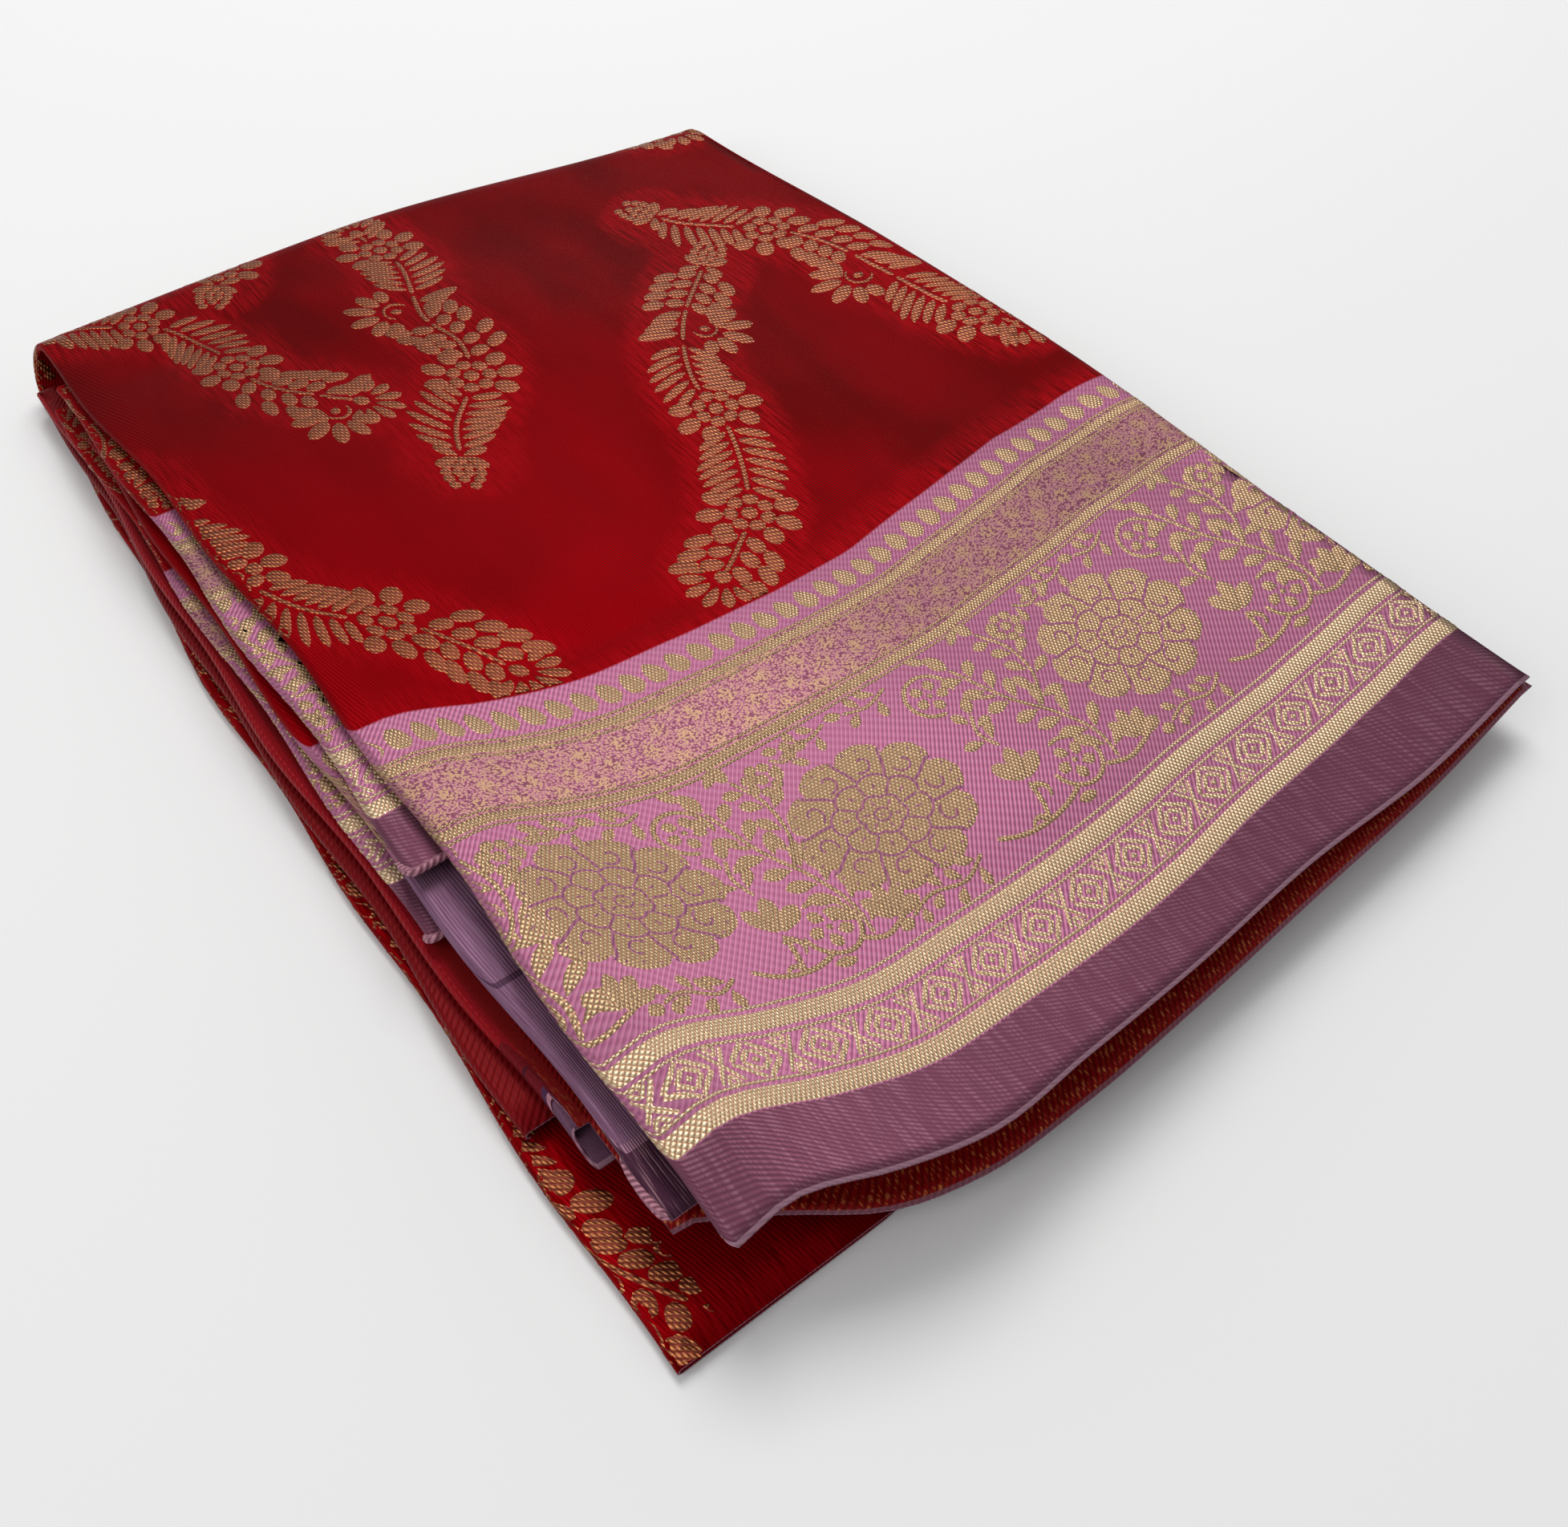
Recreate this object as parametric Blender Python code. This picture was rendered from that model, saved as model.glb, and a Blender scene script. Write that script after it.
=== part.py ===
"""A silk sari folded flat for the shelf: one woven length of cloth, as one closed solid.

The cloth is pleated back and forth across the pack, and the pleats are then folded once end to end over
the far edge, so every wrapped layer lies twice in the pile: once above and once below. The near end stays
open and shows the selvedges. X runs along the woven border, Y from the open end to the far fold, +Z up.
"""

import math
from collections import namedtuple

import bmesh
import bpy
from mathutils import Vector

# The pack's driving sizes, in metres.
PACK_WIDTH = 0.212
PACK_LENGTH = 0.304
CLOTH_THICKNESS = 0.00105

# How the plan is divided into faces: stations across the pack, and rows along it from the open end.
STATIONS = (0.011, 0.027, 0.043, 0.060, 0.080, 0.102, 0.124, 0.146, 0.168, 0.190)
NEAR_ROWS = (0.0, 0.007, 0.016, 0.028, 0.042, 0.060, 0.082)
UPPER_ROWS = NEAR_ROWS + (0.108, 0.138, 0.172, 0.206, 0.238, 0.265, 0.287, 0.3015)
LOWER_ROWS = (0.3015, 0.284, 0.250, 0.205, 0.160, 0.115, 0.075, 0.042, 0.018, 0.000, -0.0037)
STATION_MARGIN = 0.006
FAR_TURN_STEPS = 6
FOLD_STEPS = 4

# Height from the middle of one layer to the middle of the next, from the top sheet down to the floor sheet.
# body holds over most of the pack, and far is how tightly the same layers are pressed at the far fold.
Spacing = namedtuple("Spacing", "upper lower body far")
SPACINGS = (
    Spacing("top", "flap", 0.0024, 0.00145),
    Spacing("flap", "tuck_2", 0.0015, 0.00140),
    Spacing("tuck_2", "tuck_3", 0.0020, 0.00145),
    Spacing("tuck_3", "tuck_4", 0.0015, 0.00140),
    Spacing("tuck_4", "tuck_5", 0.0022, 0.00145),
    Spacing("tuck_5", "tuck_6", 0.0015, 0.00140),
    Spacing("tuck_6", "tuck_7", 0.0020, 0.00145),
    Spacing("tuck_7", "lip", 0.0015, 0.00140),
    Spacing("lip", "core", 0.0020, 0.00145),
    Spacing("core", "core_below", 0.0015, 0.00140),
    Spacing("core_below", "lip_below", 0.0019, 0.00145),
    Spacing("lip_below", "flap_below", 0.0015, 0.00140),
    Spacing("flap_below", "floor", 0.0021, 0.00145),
)
LIP_LEVEL = 8

# The layers in the order in which the cloth runs through them, from its hidden end inside the pack.
# level and level_below count down from the top sheet; a layer without level_below stops before the far fold.
# near and near_below are where its open end lies, wrap_width how far across the pack it goes round the far
# fold, and turn_reach how far it bulges there.
Layer = namedtuple("Layer", "name level level_below near near_below far wrap_width turn_reach")
LAYERS = (
    Layer("tuck_7", 7, None, 0.087, None, 0.287, 0.0, 0.0),
    Layer("tuck_6", 6, None, 0.084, None, 0.287, 0.0, 0.0),
    Layer("tuck_5", 5, None, 0.027, None, 0.265, 0.0, 0.0),
    Layer("tuck_4", 4, None, 0.012, None, 0.265, 0.0, 0.0),
    Layer("tuck_3", 3, None, 0.100, None, 0.287, 0.0, 0.0),
    Layer("tuck_2", 2, None, 0.094, None, 0.287, 0.0, 0.0),
    Layer("flap", 1, 12, 0.012, -0.0037, 0.3015, 0.033, 0.0082),
    Layer("top", 0, 13, 0.0, -0.0037, 0.3015, 1.0, 0.0098),
    Layer("lip", 8, 11, 0.0, 0.012, 0.3015, 1.0, 0.0024),
    Layer("core", 9, 10, 0.030, 0.018, 0.3015, 1.0, 0.0008),
)

# The folds that join each layer to the next, in the same order. side is -1 at the near-left side of the pack
# and +1 towards the back right. near is where the two ends of the fold start at the open end. reach is the
# fold's outermost x at the open end, the middle and the far end; below is the same for the half underneath.
Fold = namedtuple("Fold", "side near near_below reach below")
FOLDS = (
    Fold(-1, (0.087, 0.084), None, (-0.0090, -0.0066, -0.0035), None),
    Fold(+1, (0.084, 0.070), None, (0.0780, 0.0780, 0.0780), None),
    Fold(-1, (0.027, 0.012), None, (-0.0036, -0.0048, -0.0020), None),
    Fold(+1, (0.070, 0.098), None, (0.0720, 0.0720, 0.0720), None),
    Fold(-1, (0.100, 0.094), None, (-0.0046, -0.0032, -0.0014), None),
    Fold(+1, (0.094, 0.070), None, (0.0910, 0.0910, 0.0910), None),
    Fold(-1, (0.006, 0.000), (-0.0037, -0.0037), (0.0000, 0.0030, 0.0012), (-0.0143, -0.0115, -0.0032)),
    Fold(+1, (0.000, 0.000), (0.0000, 0.0120), (0.2120, 0.2200, 0.2155), (0.2020, 0.2150, 0.2130)),
    Fold(-1, (0.030, 0.030), (0.0120, 0.0180), (-0.0070, -0.0092, -0.0034), (-0.0130, -0.0106, -0.0036)),
)
FIRST_FREE_EDGE = 0.060
LAST_FREE_EDGE = 0.176

# The open end across the pack: heights of the top sheet, which arches, and of the lip, which sags under it,
# and how far the edge of each bows outwards.
Mouth = namedtuple("Mouth", "x top lip top_out lip_out")
MOUTH = (
    Mouth(0.000, 0.0217, 0.0095, 0.0000, 0.0010),
    Mouth(0.012, 0.0238, 0.0078, -0.0002, 0.0018),
    Mouth(0.028, 0.0242, 0.0073, 0.0060, 0.0067),
    Mouth(0.044, 0.0231, 0.0074, 0.0098, 0.0098),
    Mouth(0.068, 0.0211, 0.0084, 0.0086, 0.0110),
    Mouth(0.096, 0.0193, 0.0100, 0.0070, 0.0100),
    Mouth(0.134, 0.0172, 0.0106, 0.0036, 0.0072),
    Mouth(0.172, 0.0152, 0.0110, 0.0026, 0.0044),
    Mouth(0.212, 0.0134, 0.0118, -0.0019, -0.0006),
)
MOUTH_DEPTH = 0.075
TOP_BOW_START = 0.110
TOP_BOW_END = 0.290
LIP_BOW_END = 0.070

# Beyond the tucks the top sheet slopes down to a loose round fold at the back right.
SLOPE_START = 0.085
RIGHT_FOLD_HEIGHT = 0.0060
RIGHT_FOLD_HEIGHT_FAR = 0.0046

# The layers are pressed tighter towards the far fold, but less so in the middle of it.
FAR_PRESS_START = 0.215
FAR_PRESS_MIDDLE = 0.78

# The far fold bows outwards in the middle and stands a little further out at the back right.
FAR_BOW = 0.0022
FAR_SKEW = 0.0064
FAR_BOW_START = 0.160

# The floor sheet stops short of the lip beyond the near-left corner.
FLOOR_SETBACK = 0.010
FLOOR_SETBACK_START = 0.027
FLOOR_SETBACK_END = 0.080

# Slack in the top sheet: long low waves that run down the pack, and a slow waver in the side folds.
WAVE_HEIGHT = 0.0006
WAVE_ACROSS = 0.105
WAVE_ALONG = 0.190
WAVE_FADE_ACROSS = 0.030
WAVE_FADE_ALONG = 0.050
SIDE_WAVE = 0.0007
SIDE_WAVE_LENGTH = 0.071
SIDE_WAVE_SHIFT = 2.1


def smooth(t):
    """0 below 0, 1 above 1, and an even ease between them."""
    t = min(1.0, max(0.0, t))
    return t * t * (3.0 - 2.0 * t)


def mix(a, b, t):
    return a + (b - a) * t


def across(column, x):
    """A column of the mouth's table at x, eased between its rows."""
    for low, high in zip(MOUTH, MOUTH[1:]):
        if x <= high.x:
            return mix(getattr(low, column), getattr(high, column), smooth((x - low.x) / (high.x - low.x)))
    return getattr(MOUTH[-1], column)


def along(values, y):
    """One of three values, given for the open end, the middle and the far end of the pack, eased between."""
    near, middle, far = values
    half = PACK_LENGTH / 2
    if y < half:
        return mix(near, middle, smooth(y / half))
    return mix(middle, far, smooth((y - half) / half))


def hump(x):
    """0 at both sides of the pack and 1 in the middle."""
    return math.sin(math.pi * min(1.0, max(0.0, x / PACK_WIDTH)))


def far_press(x, y):
    """How far the layers are pressed together: not at all in the body, most at the far corners."""
    towards_far = smooth((y - FAR_PRESS_START) / (PACK_LENGTH - FAR_PRESS_START))
    return towards_far * mix(1.0, FAR_PRESS_MIDDLE, hump(x))


def pressed(first, last, press):
    """The height of a run of spacings."""
    return sum(mix(row.body, row.far, press) for row in SPACINGS[first:last])


def wave(x, y):
    """Slack in the top sheet, fading out at its folds and its open end."""
    inside = smooth(x / WAVE_FADE_ACROSS) * smooth((PACK_WIDTH - x) / WAVE_FADE_ACROSS)
    inside *= smooth(y / WAVE_FADE_ALONG) * smooth((PACK_LENGTH - y) / WAVE_FADE_ALONG)
    return WAVE_HEIGHT * inside * math.sin(math.tau * (x / WAVE_ACROSS + y / WAVE_ALONG))


def height(level, x, y):
    """How high the middle of a level of the pile lies above the floor."""
    floor = CLOTH_THICKNESS / 2
    press = far_press(x, y)
    open_end = 1.0 - smooth(y / MOUTH_DEPTH)
    lip = floor + pressed(LIP_LEVEL, len(SPACINGS), press)
    if level > LIP_LEVEL:
        share = (len(SPACINGS) - level) / (len(SPACINGS) - LIP_LEVEL)
        sagging = floor + (min(lip, across("lip", x)) - floor) * share
        return mix(floor + pressed(level, len(SPACINGS), press), sagging, open_end)
    stack = pressed(0, LIP_LEVEL, press)
    right = mix(RIGHT_FOLD_HEIGHT, RIGHT_FOLD_HEIGHT_FAR, far_press(0.0, y))
    slope = smooth((x - SLOPE_START) / (PACK_WIDTH - SLOPE_START))
    top = mix(lip + mix(stack, right, slope), across("top", x), open_end)
    lip = mix(lip, across("lip", x), open_end)
    share = pressed(level, LIP_LEVEL, press) / stack
    return mix(lip, top, share) + (wave(x, y) if level == 0 else 0.0)


def plan_y(level, x, y):
    """Moves a row of the plan with the bows of the open end and of the far fold."""
    if level < LIP_LEVEL:
        bow = across("top_out", x) * (1.0 - smooth((y - TOP_BOW_START) / (TOP_BOW_END - TOP_BOW_START)))
    elif level == LIP_LEVEL:
        bow = across("lip_out", x) * (1.0 - smooth(y / LIP_BOW_END))
    else:
        bow = 0.0
    far = smooth((y - FAR_BOW_START) / (PACK_LENGTH - FAR_BOW_START))
    return y - bow + far * (FAR_BOW * hump(x) + FAR_SKEW * x / PACK_WIDTH)


def edge(fold, y, below):
    """The outermost x of a fold, with a slow waver along the near-left side."""
    reach = along(fold.below if below and fold.below else fold.reach, y)
    if fold.side > 0:
        return reach
    phase = FOLDS.index(fold) + (0.5 if below else 0.0)
    return reach + SIDE_WAVE * math.sin(math.tau * y / SIDE_WAVE_LENGTH + phase * SIDE_WAVE_SHIFT)


class Column:
    """A line of points down the cloth: on one layer, or part of the way round a fold to the next layer."""

    def __init__(self, layer, station=None, fold=None, onward=None, angle=0.0):
        self.layer = layer
        self.onward = onward or layer
        self.station = station
        self.fold = fold
        self.angle = angle
        self.weight = (1.0 - math.cos(angle)) / 2.0

    def levels(self, below):
        if below:
            return self.layer.level_below, self.onward.level_below
        return self.layer.level, self.onward.level

    def point(self, y, below):
        """The point of this column at one row of the upper or the lower half."""
        first, last = self.levels(below)
        if self.fold is None:
            return Vector((self.station, plan_y(first, self.station, y), height(first, self.station, y)))
        x = edge(self.fold, y, below)
        start = height(first, x, y)
        end = height(last, x, y)
        radius = abs(start - end) / 2.0
        inward = radius * (1.0 - math.sin(self.angle))
        y = mix(plan_y(first, x, y), plan_y(last, x, y), self.weight)
        return Vector((x - self.fold.side * inward, y, mix(start, end, self.weight)))

    def near(self, below):
        """Where this column of the cloth starts, measured from the open end."""
        if self.fold is not None:
            return mix(*(self.fold.near_below if below else self.fold.near), self.weight)
        if not below:
            return self.layer.near
        if self.layer.name != "top":
            return self.layer.near_below
        span = FLOOR_SETBACK_END - FLOOR_SETBACK_START
        return self.layer.near_below + FLOOR_SETBACK * smooth((self.station - FLOOR_SETBACK_START) / span)

    def wraps(self):
        if self.layer.level_below is None or self.onward.level_below is None:
            return False
        return self.station is None or self.station <= self.layer.wrap_width

    def points(self):
        """One point for each row of the plan, or None where this column has no cloth."""
        near = self.near(False)
        far = min(self.layer.far, self.onward.far)
        rows = []
        for index, y in enumerate(UPPER_ROWS):
            last = index == len(UPPER_ROWS) - 1
            hidden = (not last and UPPER_ROWS[index + 1] <= near) or y > far
            rows.append(None if hidden else self.point(max(y, near), False))
        if not self.wraps():
            return rows + [None] * (FAR_TURN_STEPS - 1 + len(LOWER_ROWS))
        above = rows[-1]
        below = self.point(LOWER_ROWS[0], True)
        reach = mix(self.layer.turn_reach, self.onward.turn_reach, self.weight)
        for step in range(1, FAR_TURN_STEPS):
            turn = math.pi * step / FAR_TURN_STEPS
            turned = above.lerp(below, (1.0 - math.cos(turn)) / 2.0)
            rows.append(turned + Vector((0.0, reach * math.sin(turn), 0.0)))
        near = self.near(True)
        for index, y in enumerate(LOWER_ROWS):
            hidden = index > 0 and LOWER_ROWS[index - 1] <= near
            rows.append(None if hidden else self.point(max(y, near), True))
        return rows


def columns():
    """Every column of the cloth, walked from its hidden end to its last free edge."""
    found = [Column(LAYERS[0], station=FIRST_FREE_EDGE)]
    heading = -1
    start = FIRST_FREE_EDGE
    for index, layer in enumerate(LAYERS):
        last = index == len(FOLDS)
        stop = LAST_FREE_EDGE if last else FOLDS[index].reach[1]
        low, high = sorted((start, stop))
        inside = [x for x in STATIONS if low + STATION_MARGIN < x < high - STATION_MARGIN]
        found += [Column(layer, station=x) for x in (inside if heading > 0 else reversed(inside))]
        if last:
            found.append(Column(layer, station=LAST_FREE_EDGE))
            break
        for step in range(FOLD_STEPS + 1):
            angle = math.pi * step / FOLD_STEPS
            found.append(Column(layer, fold=FOLDS[index], onward=LAYERS[index + 1], angle=angle))
        start = stop
        heading = -heading
    return found


def centred(grid):
    """Shifts the plan so that the origin is under the middle of the pack, on the floor."""
    points = [p for column in grid for p in column if p is not None]
    middle = Vector()
    for axis in (0, 1):
        values = [p[axis] for p in points]
        middle[axis] = (min(values) + max(values)) / 2.0
    return [[None if p is None else p - middle for p in column] for column in grid]


def cloth_mesh(grid):
    """The middle surface of the cloth: a quad wherever four neighbouring points exist."""
    bm = bmesh.new()
    verts = [[None if p is None else bm.verts.new(p) for p in column] for column in grid]
    for first, second in zip(verts, verts[1:]):
        for row in range(len(first) - 1):
            corners = (first[row], first[row + 1], second[row + 1], second[row])
            if None not in corners:
                bm.faces.new(corners)
    loose = [v for v in bm.verts if not v.link_faces]
    bmesh.ops.delete(bm, geom=loose, context="VERTS")
    mesh = bpy.data.meshes.new("sari_cloth")
    bm.to_mesh(mesh)
    bm.free()
    mesh.shade_smooth()
    return mesh


def silk():
    """Crimson satin with gold: a soft sheen on a deep red ground."""
    material = bpy.data.materials.new("crimson_silk")
    material.use_nodes = True
    surface = material.node_tree.nodes["Principled BSDF"]
    surface.inputs["Base Color"].default_value = (0.36, 0.004, 0.012, 1.0)
    surface.inputs["Roughness"].default_value = 0.45
    surface.inputs["Metallic"].default_value = 0.0
    return material


def build():
    for obj in list(bpy.data.objects):
        bpy.data.objects.remove(obj)
    grid = centred([column.points() for column in columns()])
    mesh = cloth_mesh(grid)
    mesh.materials.append(silk())
    cloth = bpy.data.objects.new("sari_cloth", mesh)
    bpy.context.scene.collection.objects.link(cloth)
    solid = cloth.modifiers.new("Thickness", "SOLIDIFY")
    solid.thickness = CLOTH_THICKNESS
    solid.offset = 0.0


build()
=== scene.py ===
import math
from collections import namedtuple

import bpy
import numpy as np
from mathutils import Matrix, Vector


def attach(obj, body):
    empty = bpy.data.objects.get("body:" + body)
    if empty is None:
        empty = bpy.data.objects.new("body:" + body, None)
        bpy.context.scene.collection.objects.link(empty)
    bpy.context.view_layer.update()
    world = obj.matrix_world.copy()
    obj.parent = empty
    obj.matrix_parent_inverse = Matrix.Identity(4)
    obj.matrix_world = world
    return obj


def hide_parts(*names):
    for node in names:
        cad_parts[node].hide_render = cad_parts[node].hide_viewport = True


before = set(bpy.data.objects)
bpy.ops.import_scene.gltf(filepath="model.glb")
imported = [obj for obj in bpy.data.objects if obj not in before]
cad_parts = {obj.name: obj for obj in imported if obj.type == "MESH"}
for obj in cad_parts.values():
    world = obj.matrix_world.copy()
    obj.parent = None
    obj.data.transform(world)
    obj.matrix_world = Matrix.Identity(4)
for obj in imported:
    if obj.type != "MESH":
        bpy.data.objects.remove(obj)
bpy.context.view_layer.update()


# CAMERA. It stands over the pack's near-left corner, where the photograph was taken from, and looks down at
# the cloth at about 49 degrees.
PACK_CORNER = Vector((-0.10267, -0.15354, 0.0217))
CAMERA_FROM_CORNER = Vector((-0.05405, -0.07758, 0.22132))
CAMERA_RIGHT = Vector((0.79157, -0.61093, 0.01361))
CAMERA_UP = Vector((0.45344, 0.60216, 0.65711))
CAMERA_AHEAD = Vector((0.40964, 0.51398, -0.75367))
CAMERA_LENS_MM = 34.52

camera = bpy.data.objects.new("camera", bpy.data.cameras.new("camera"))
camera.data.lens = CAMERA_LENS_MM
camera.data.sensor_width = 36.0
camera.data.clip_start = 0.01
turn = Matrix((CAMERA_RIGHT, CAMERA_UP, -CAMERA_AHEAD)).transposed().to_4x4()
camera.matrix_world = Matrix.Translation(PACK_CORNER + CAMERA_FROM_CORNER) @ turn
bpy.context.scene.collection.objects.link(camera)
bpy.context.scene.camera = camera
bpy.context.scene.view_settings.view_transform = "Standard"


# FLOOR. A plain pale board that the pack lies on, in place of the photograph's fur. It is painted matt, so it
# shows soft shadows and no glare.
FLOOR_SIZE = 6.0


def linear(code):
    """An sRGB hex colour as the linear values that a shader takes."""
    parts = [int(code[i:i + 2], 16) / 255.0 for i in (1, 3, 5)]
    return tuple(c / 12.92 if c <= 0.04045 else ((c + 0.055) / 1.055) ** 2.4 for c in parts) + (1.0,)


bpy.ops.object.select_all(action="DESELECT")
bpy.ops.mesh.primitive_grid_add(x_subdivisions=8, y_subdivisions=8, size=FLOOR_SIZE)
floor = bpy.context.active_object
floor.name = "floor"
paint = bpy.data.materials.new("matt_white_board")
paint.use_nodes = True
board = paint.node_tree.nodes["Principled BSDF"]
board.inputs["Base Color"].default_value = linear("#e9e9e8")
board.inputs["Roughness"].default_value = 0.85
floor.data.materials.append(paint)


# LIGHT. One broad soft window high behind the pack, which the near gold mirrors and the far gold doesn't, a
# paler one from the left for the side folds, and an evenly pale room.
Lamp = namedtuple("Lamp", "name place size watts")
LAMPS = (
    Lamp("high_window", (0.55, 0.75, 1.55), 1.0, 22.0),
    Lamp("left_fill", (-1.30, -0.10, 0.90), 1.1, 7.0),
)
ROOM_COLOUR = "#f2f3f5"
ROOM_STRENGTH = 0.42

for lamp in LAMPS:
    light = bpy.data.lights.new(lamp.name, "AREA")
    light.shape = "SQUARE"
    light.size = lamp.size
    light.energy = lamp.watts
    stand = bpy.data.objects.new(lamp.name, light)
    stand.location = lamp.place
    stand.rotation_euler = (-Vector(lamp.place)).to_track_quat("-Z", "Y").to_euler()
    bpy.context.scene.collection.objects.link(stand)
room = bpy.data.worlds.new("room")
room.use_nodes = True
room.node_tree.nodes["Background"].inputs["Color"].default_value = linear(ROOM_COLOUR)
room.node_tree.nodes["Background"].inputs["Strength"].default_value = ROOM_STRENGTH
bpy.context.scene.world = room


# CLOTH. One woven length of silk, pleated back and forth across the pack and folded once, end to end, over
# the far edge. Only its own creases hold it. Across the pack its place is x, from the near-left side; along
# it y, from the open end; levels count down from the top sheet.
PACK_WIDTH = 0.212
PACK_LENGTH = 0.304
FAR_TURN = 0.3015
FLOOR_EDGE = -0.0037
CLOTH_THICKNESS = 0.00045
SOLID_THICKNESS = 0.00105

# From the middle of each layer to the next, from the top sheet down: over most of the pack, and at the far
# fold, where the layers are pressed tighter.
Spacing = namedtuple("Spacing", "body far")
BODY_SPACINGS = (0.0024, 0.0015, 0.0020, 0.0015, 0.0022, 0.0015, 0.0020, 0.0015, 0.0020, 0.0015, 0.0019,
                 0.0015, 0.0021)
SPACINGS = [Spacing(body, 0.00140 if index % 2 else 0.00145) for index, body in enumerate(BODY_SPACINGS)]
LIP_LEVEL = 8

# weave says which part of the length shows there: 0 the body with its border, 1 the plain mauve end, 2 the
# striped end.
Layer = namedtuple("Layer", "name level level_below near near_below far wrap_width turn_reach weave")
LAYERS = (
    Layer("tuck_7", 7, None, 0.087, None, 0.287, 0.0, 0.0, 0),
    Layer("tuck_6", 6, None, 0.084, None, 0.287, 0.0, 0.0, 0),
    Layer("tuck_5", 5, None, 0.027, None, 0.265, 0.0, 0.0, 1),
    Layer("tuck_4", 4, None, 0.012, None, 0.265, 0.0, 0.0, 1),
    Layer("tuck_3", 3, None, 0.100, None, 0.287, 0.0, 0.0, 0),
    Layer("tuck_2", 2, None, 0.094, None, 0.287, 0.0, 0.0, 0),
    Layer("flap", 1, 12, 0.012, FLOOR_EDGE, FAR_TURN, 0.033, 0.0082, 0),
    Layer("top", 0, 13, 0.0, FLOOR_EDGE, FAR_TURN, 1.0, 0.0098, 0),
    Layer("lip", 8, 11, 0.0, 0.012, FAR_TURN, 1.0, 0.0024, 2),
    Layer("core", 9, 10, 0.030, 0.018, FAR_TURN, 1.0, 0.0008, 2),
)
Fold = namedtuple("Fold", "side near near_below reach below")
FOLDS = (
    Fold(-1, (0.087, 0.084), None, (-0.0090, -0.0066, -0.0035), None),
    Fold(+1, (0.084, 0.070), None, (0.0780, 0.0780, 0.0780), None),
    Fold(-1, (0.027, 0.012), None, (-0.0036, -0.0048, -0.0020), None),
    Fold(+1, (0.070, 0.098), None, (0.0720, 0.0720, 0.0720), None),
    Fold(-1, (0.100, 0.094), None, (-0.0046, -0.0032, -0.0014), None),
    Fold(+1, (0.094, 0.070), None, (0.0910, 0.0910, 0.0910), None),
    Fold(-1, (0.006, 0.000), (-0.0037, -0.0037), (0.0000, 0.0030, 0.0012), (-0.0143, -0.0115, -0.0032)),
    Fold(+1, (0.000, 0.000), (0.0063, 0.0120), (0.2120, 0.2200, 0.2155), (0.2020, 0.2150, 0.2130)),
    Fold(-1, (0.030, 0.030), (0.0120, 0.0180), (-0.0070, -0.0092, -0.0034), (-0.0130, -0.0106, -0.0036)),
)

# Below, the flat layers keep this far inside the loose side fold, and are crowded together by this share.
SIDE_FOLD = FOLDS[7]
FOLD_ROOM = 0.0015
CROWDED = 0.10
FIRST_FREE_EDGE = 0.060
LAST_FREE_EDGE = 0.176

# The open end across the pack: the top sheet arches, the lip sags under it, and both edges bow outwards.
Mouth = namedtuple("Mouth", "x top lip top_out lip_out")
MOUTH = (
    Mouth(0.000, 0.0217, 0.0095, 0.0000, -0.0125),
    Mouth(0.012, 0.0238, 0.0078, -0.0002, -0.0060),
    Mouth(0.028, 0.0242, 0.0073, 0.0060, 0.0050),
    Mouth(0.044, 0.0231, 0.0074, 0.0098, 0.0098),
    Mouth(0.068, 0.0211, 0.0084, 0.0086, 0.0110),
    Mouth(0.096, 0.0193, 0.0100, 0.0070, 0.0100),
    Mouth(0.134, 0.0172, 0.0106, 0.0036, 0.0072),
    Mouth(0.172, 0.0152, 0.0110, 0.0026, 0.0044),
    Mouth(0.212, 0.0134, 0.0118, -0.0019, -0.0006),
)
MOUTH_DEPTH = 0.075
TOP_BOW_START = 0.110
TOP_BOW_END = 0.290
LIP_BOW_END = 0.070
SLOPE_START = 0.085
RIGHT_FOLD_HEIGHT = 0.0060
RIGHT_FOLD_HEIGHT_FAR = 0.0046
FAR_PRESS_START = 0.215
FAR_PRESS_MIDDLE = 0.78
FAR_BOW = 0.0022
FAR_SKEW = 0.0064
FAR_BOW_START = 0.160
FLOOR_SETBACK = 0.010
FLOOR_SETBACK_START = 0.027
FLOOR_SETBACK_END = 0.080
WAVE_HEIGHT = 0.0006
WAVE_ACROSS = 0.105
WAVE_ALONG = 0.190
WAVE_FADE = 0.02
WAVE_FADE_FAR = 0.03
WAVE_START = 0.05
SKEW_OVERHANG = 0.01
SIDE_WAVE = 0.0007
SIDE_WAVE_LENGTH = 0.071
SIDE_WAVE_SHIFT = 2.1


def ease(t):
    t = np.clip(t, 0.0, 1.0)
    return t * t * (3.0 - 2.0 * t)


def mix(a, b, t):
    return a + (b - a) * t


def across(column, x):
    """A column of the mouth's table at x, on a smooth curve through its rows."""
    xs = np.array([row.x for row in MOUTH])
    values = np.array([getattr(row, column) for row in MOUTH])
    slopes = np.gradient(values, xs)
    x = np.clip(x, xs[0], xs[-1])
    index = np.clip(np.searchsorted(xs, x, side="right") - 1, 0, len(xs) - 2)
    after = index + 1
    width = xs[after] - xs[index]
    t = (x - xs[index]) / width
    start = (2 * t ** 3 - 3 * t ** 2 + 1) * values[index] + (t ** 3 - 2 * t ** 2 + t) * width * slopes[index]
    return start + (3 * t ** 2 - 2 * t ** 3) * values[after] + (t ** 3 - t ** 2) * width * slopes[after]


def along(values, y):
    near, middle, far = values
    t = y / (PACK_LENGTH / 2)
    return np.where(t < 1.0, mix(near, middle, ease(t)), mix(middle, far, ease(t - 1.0)))


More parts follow.
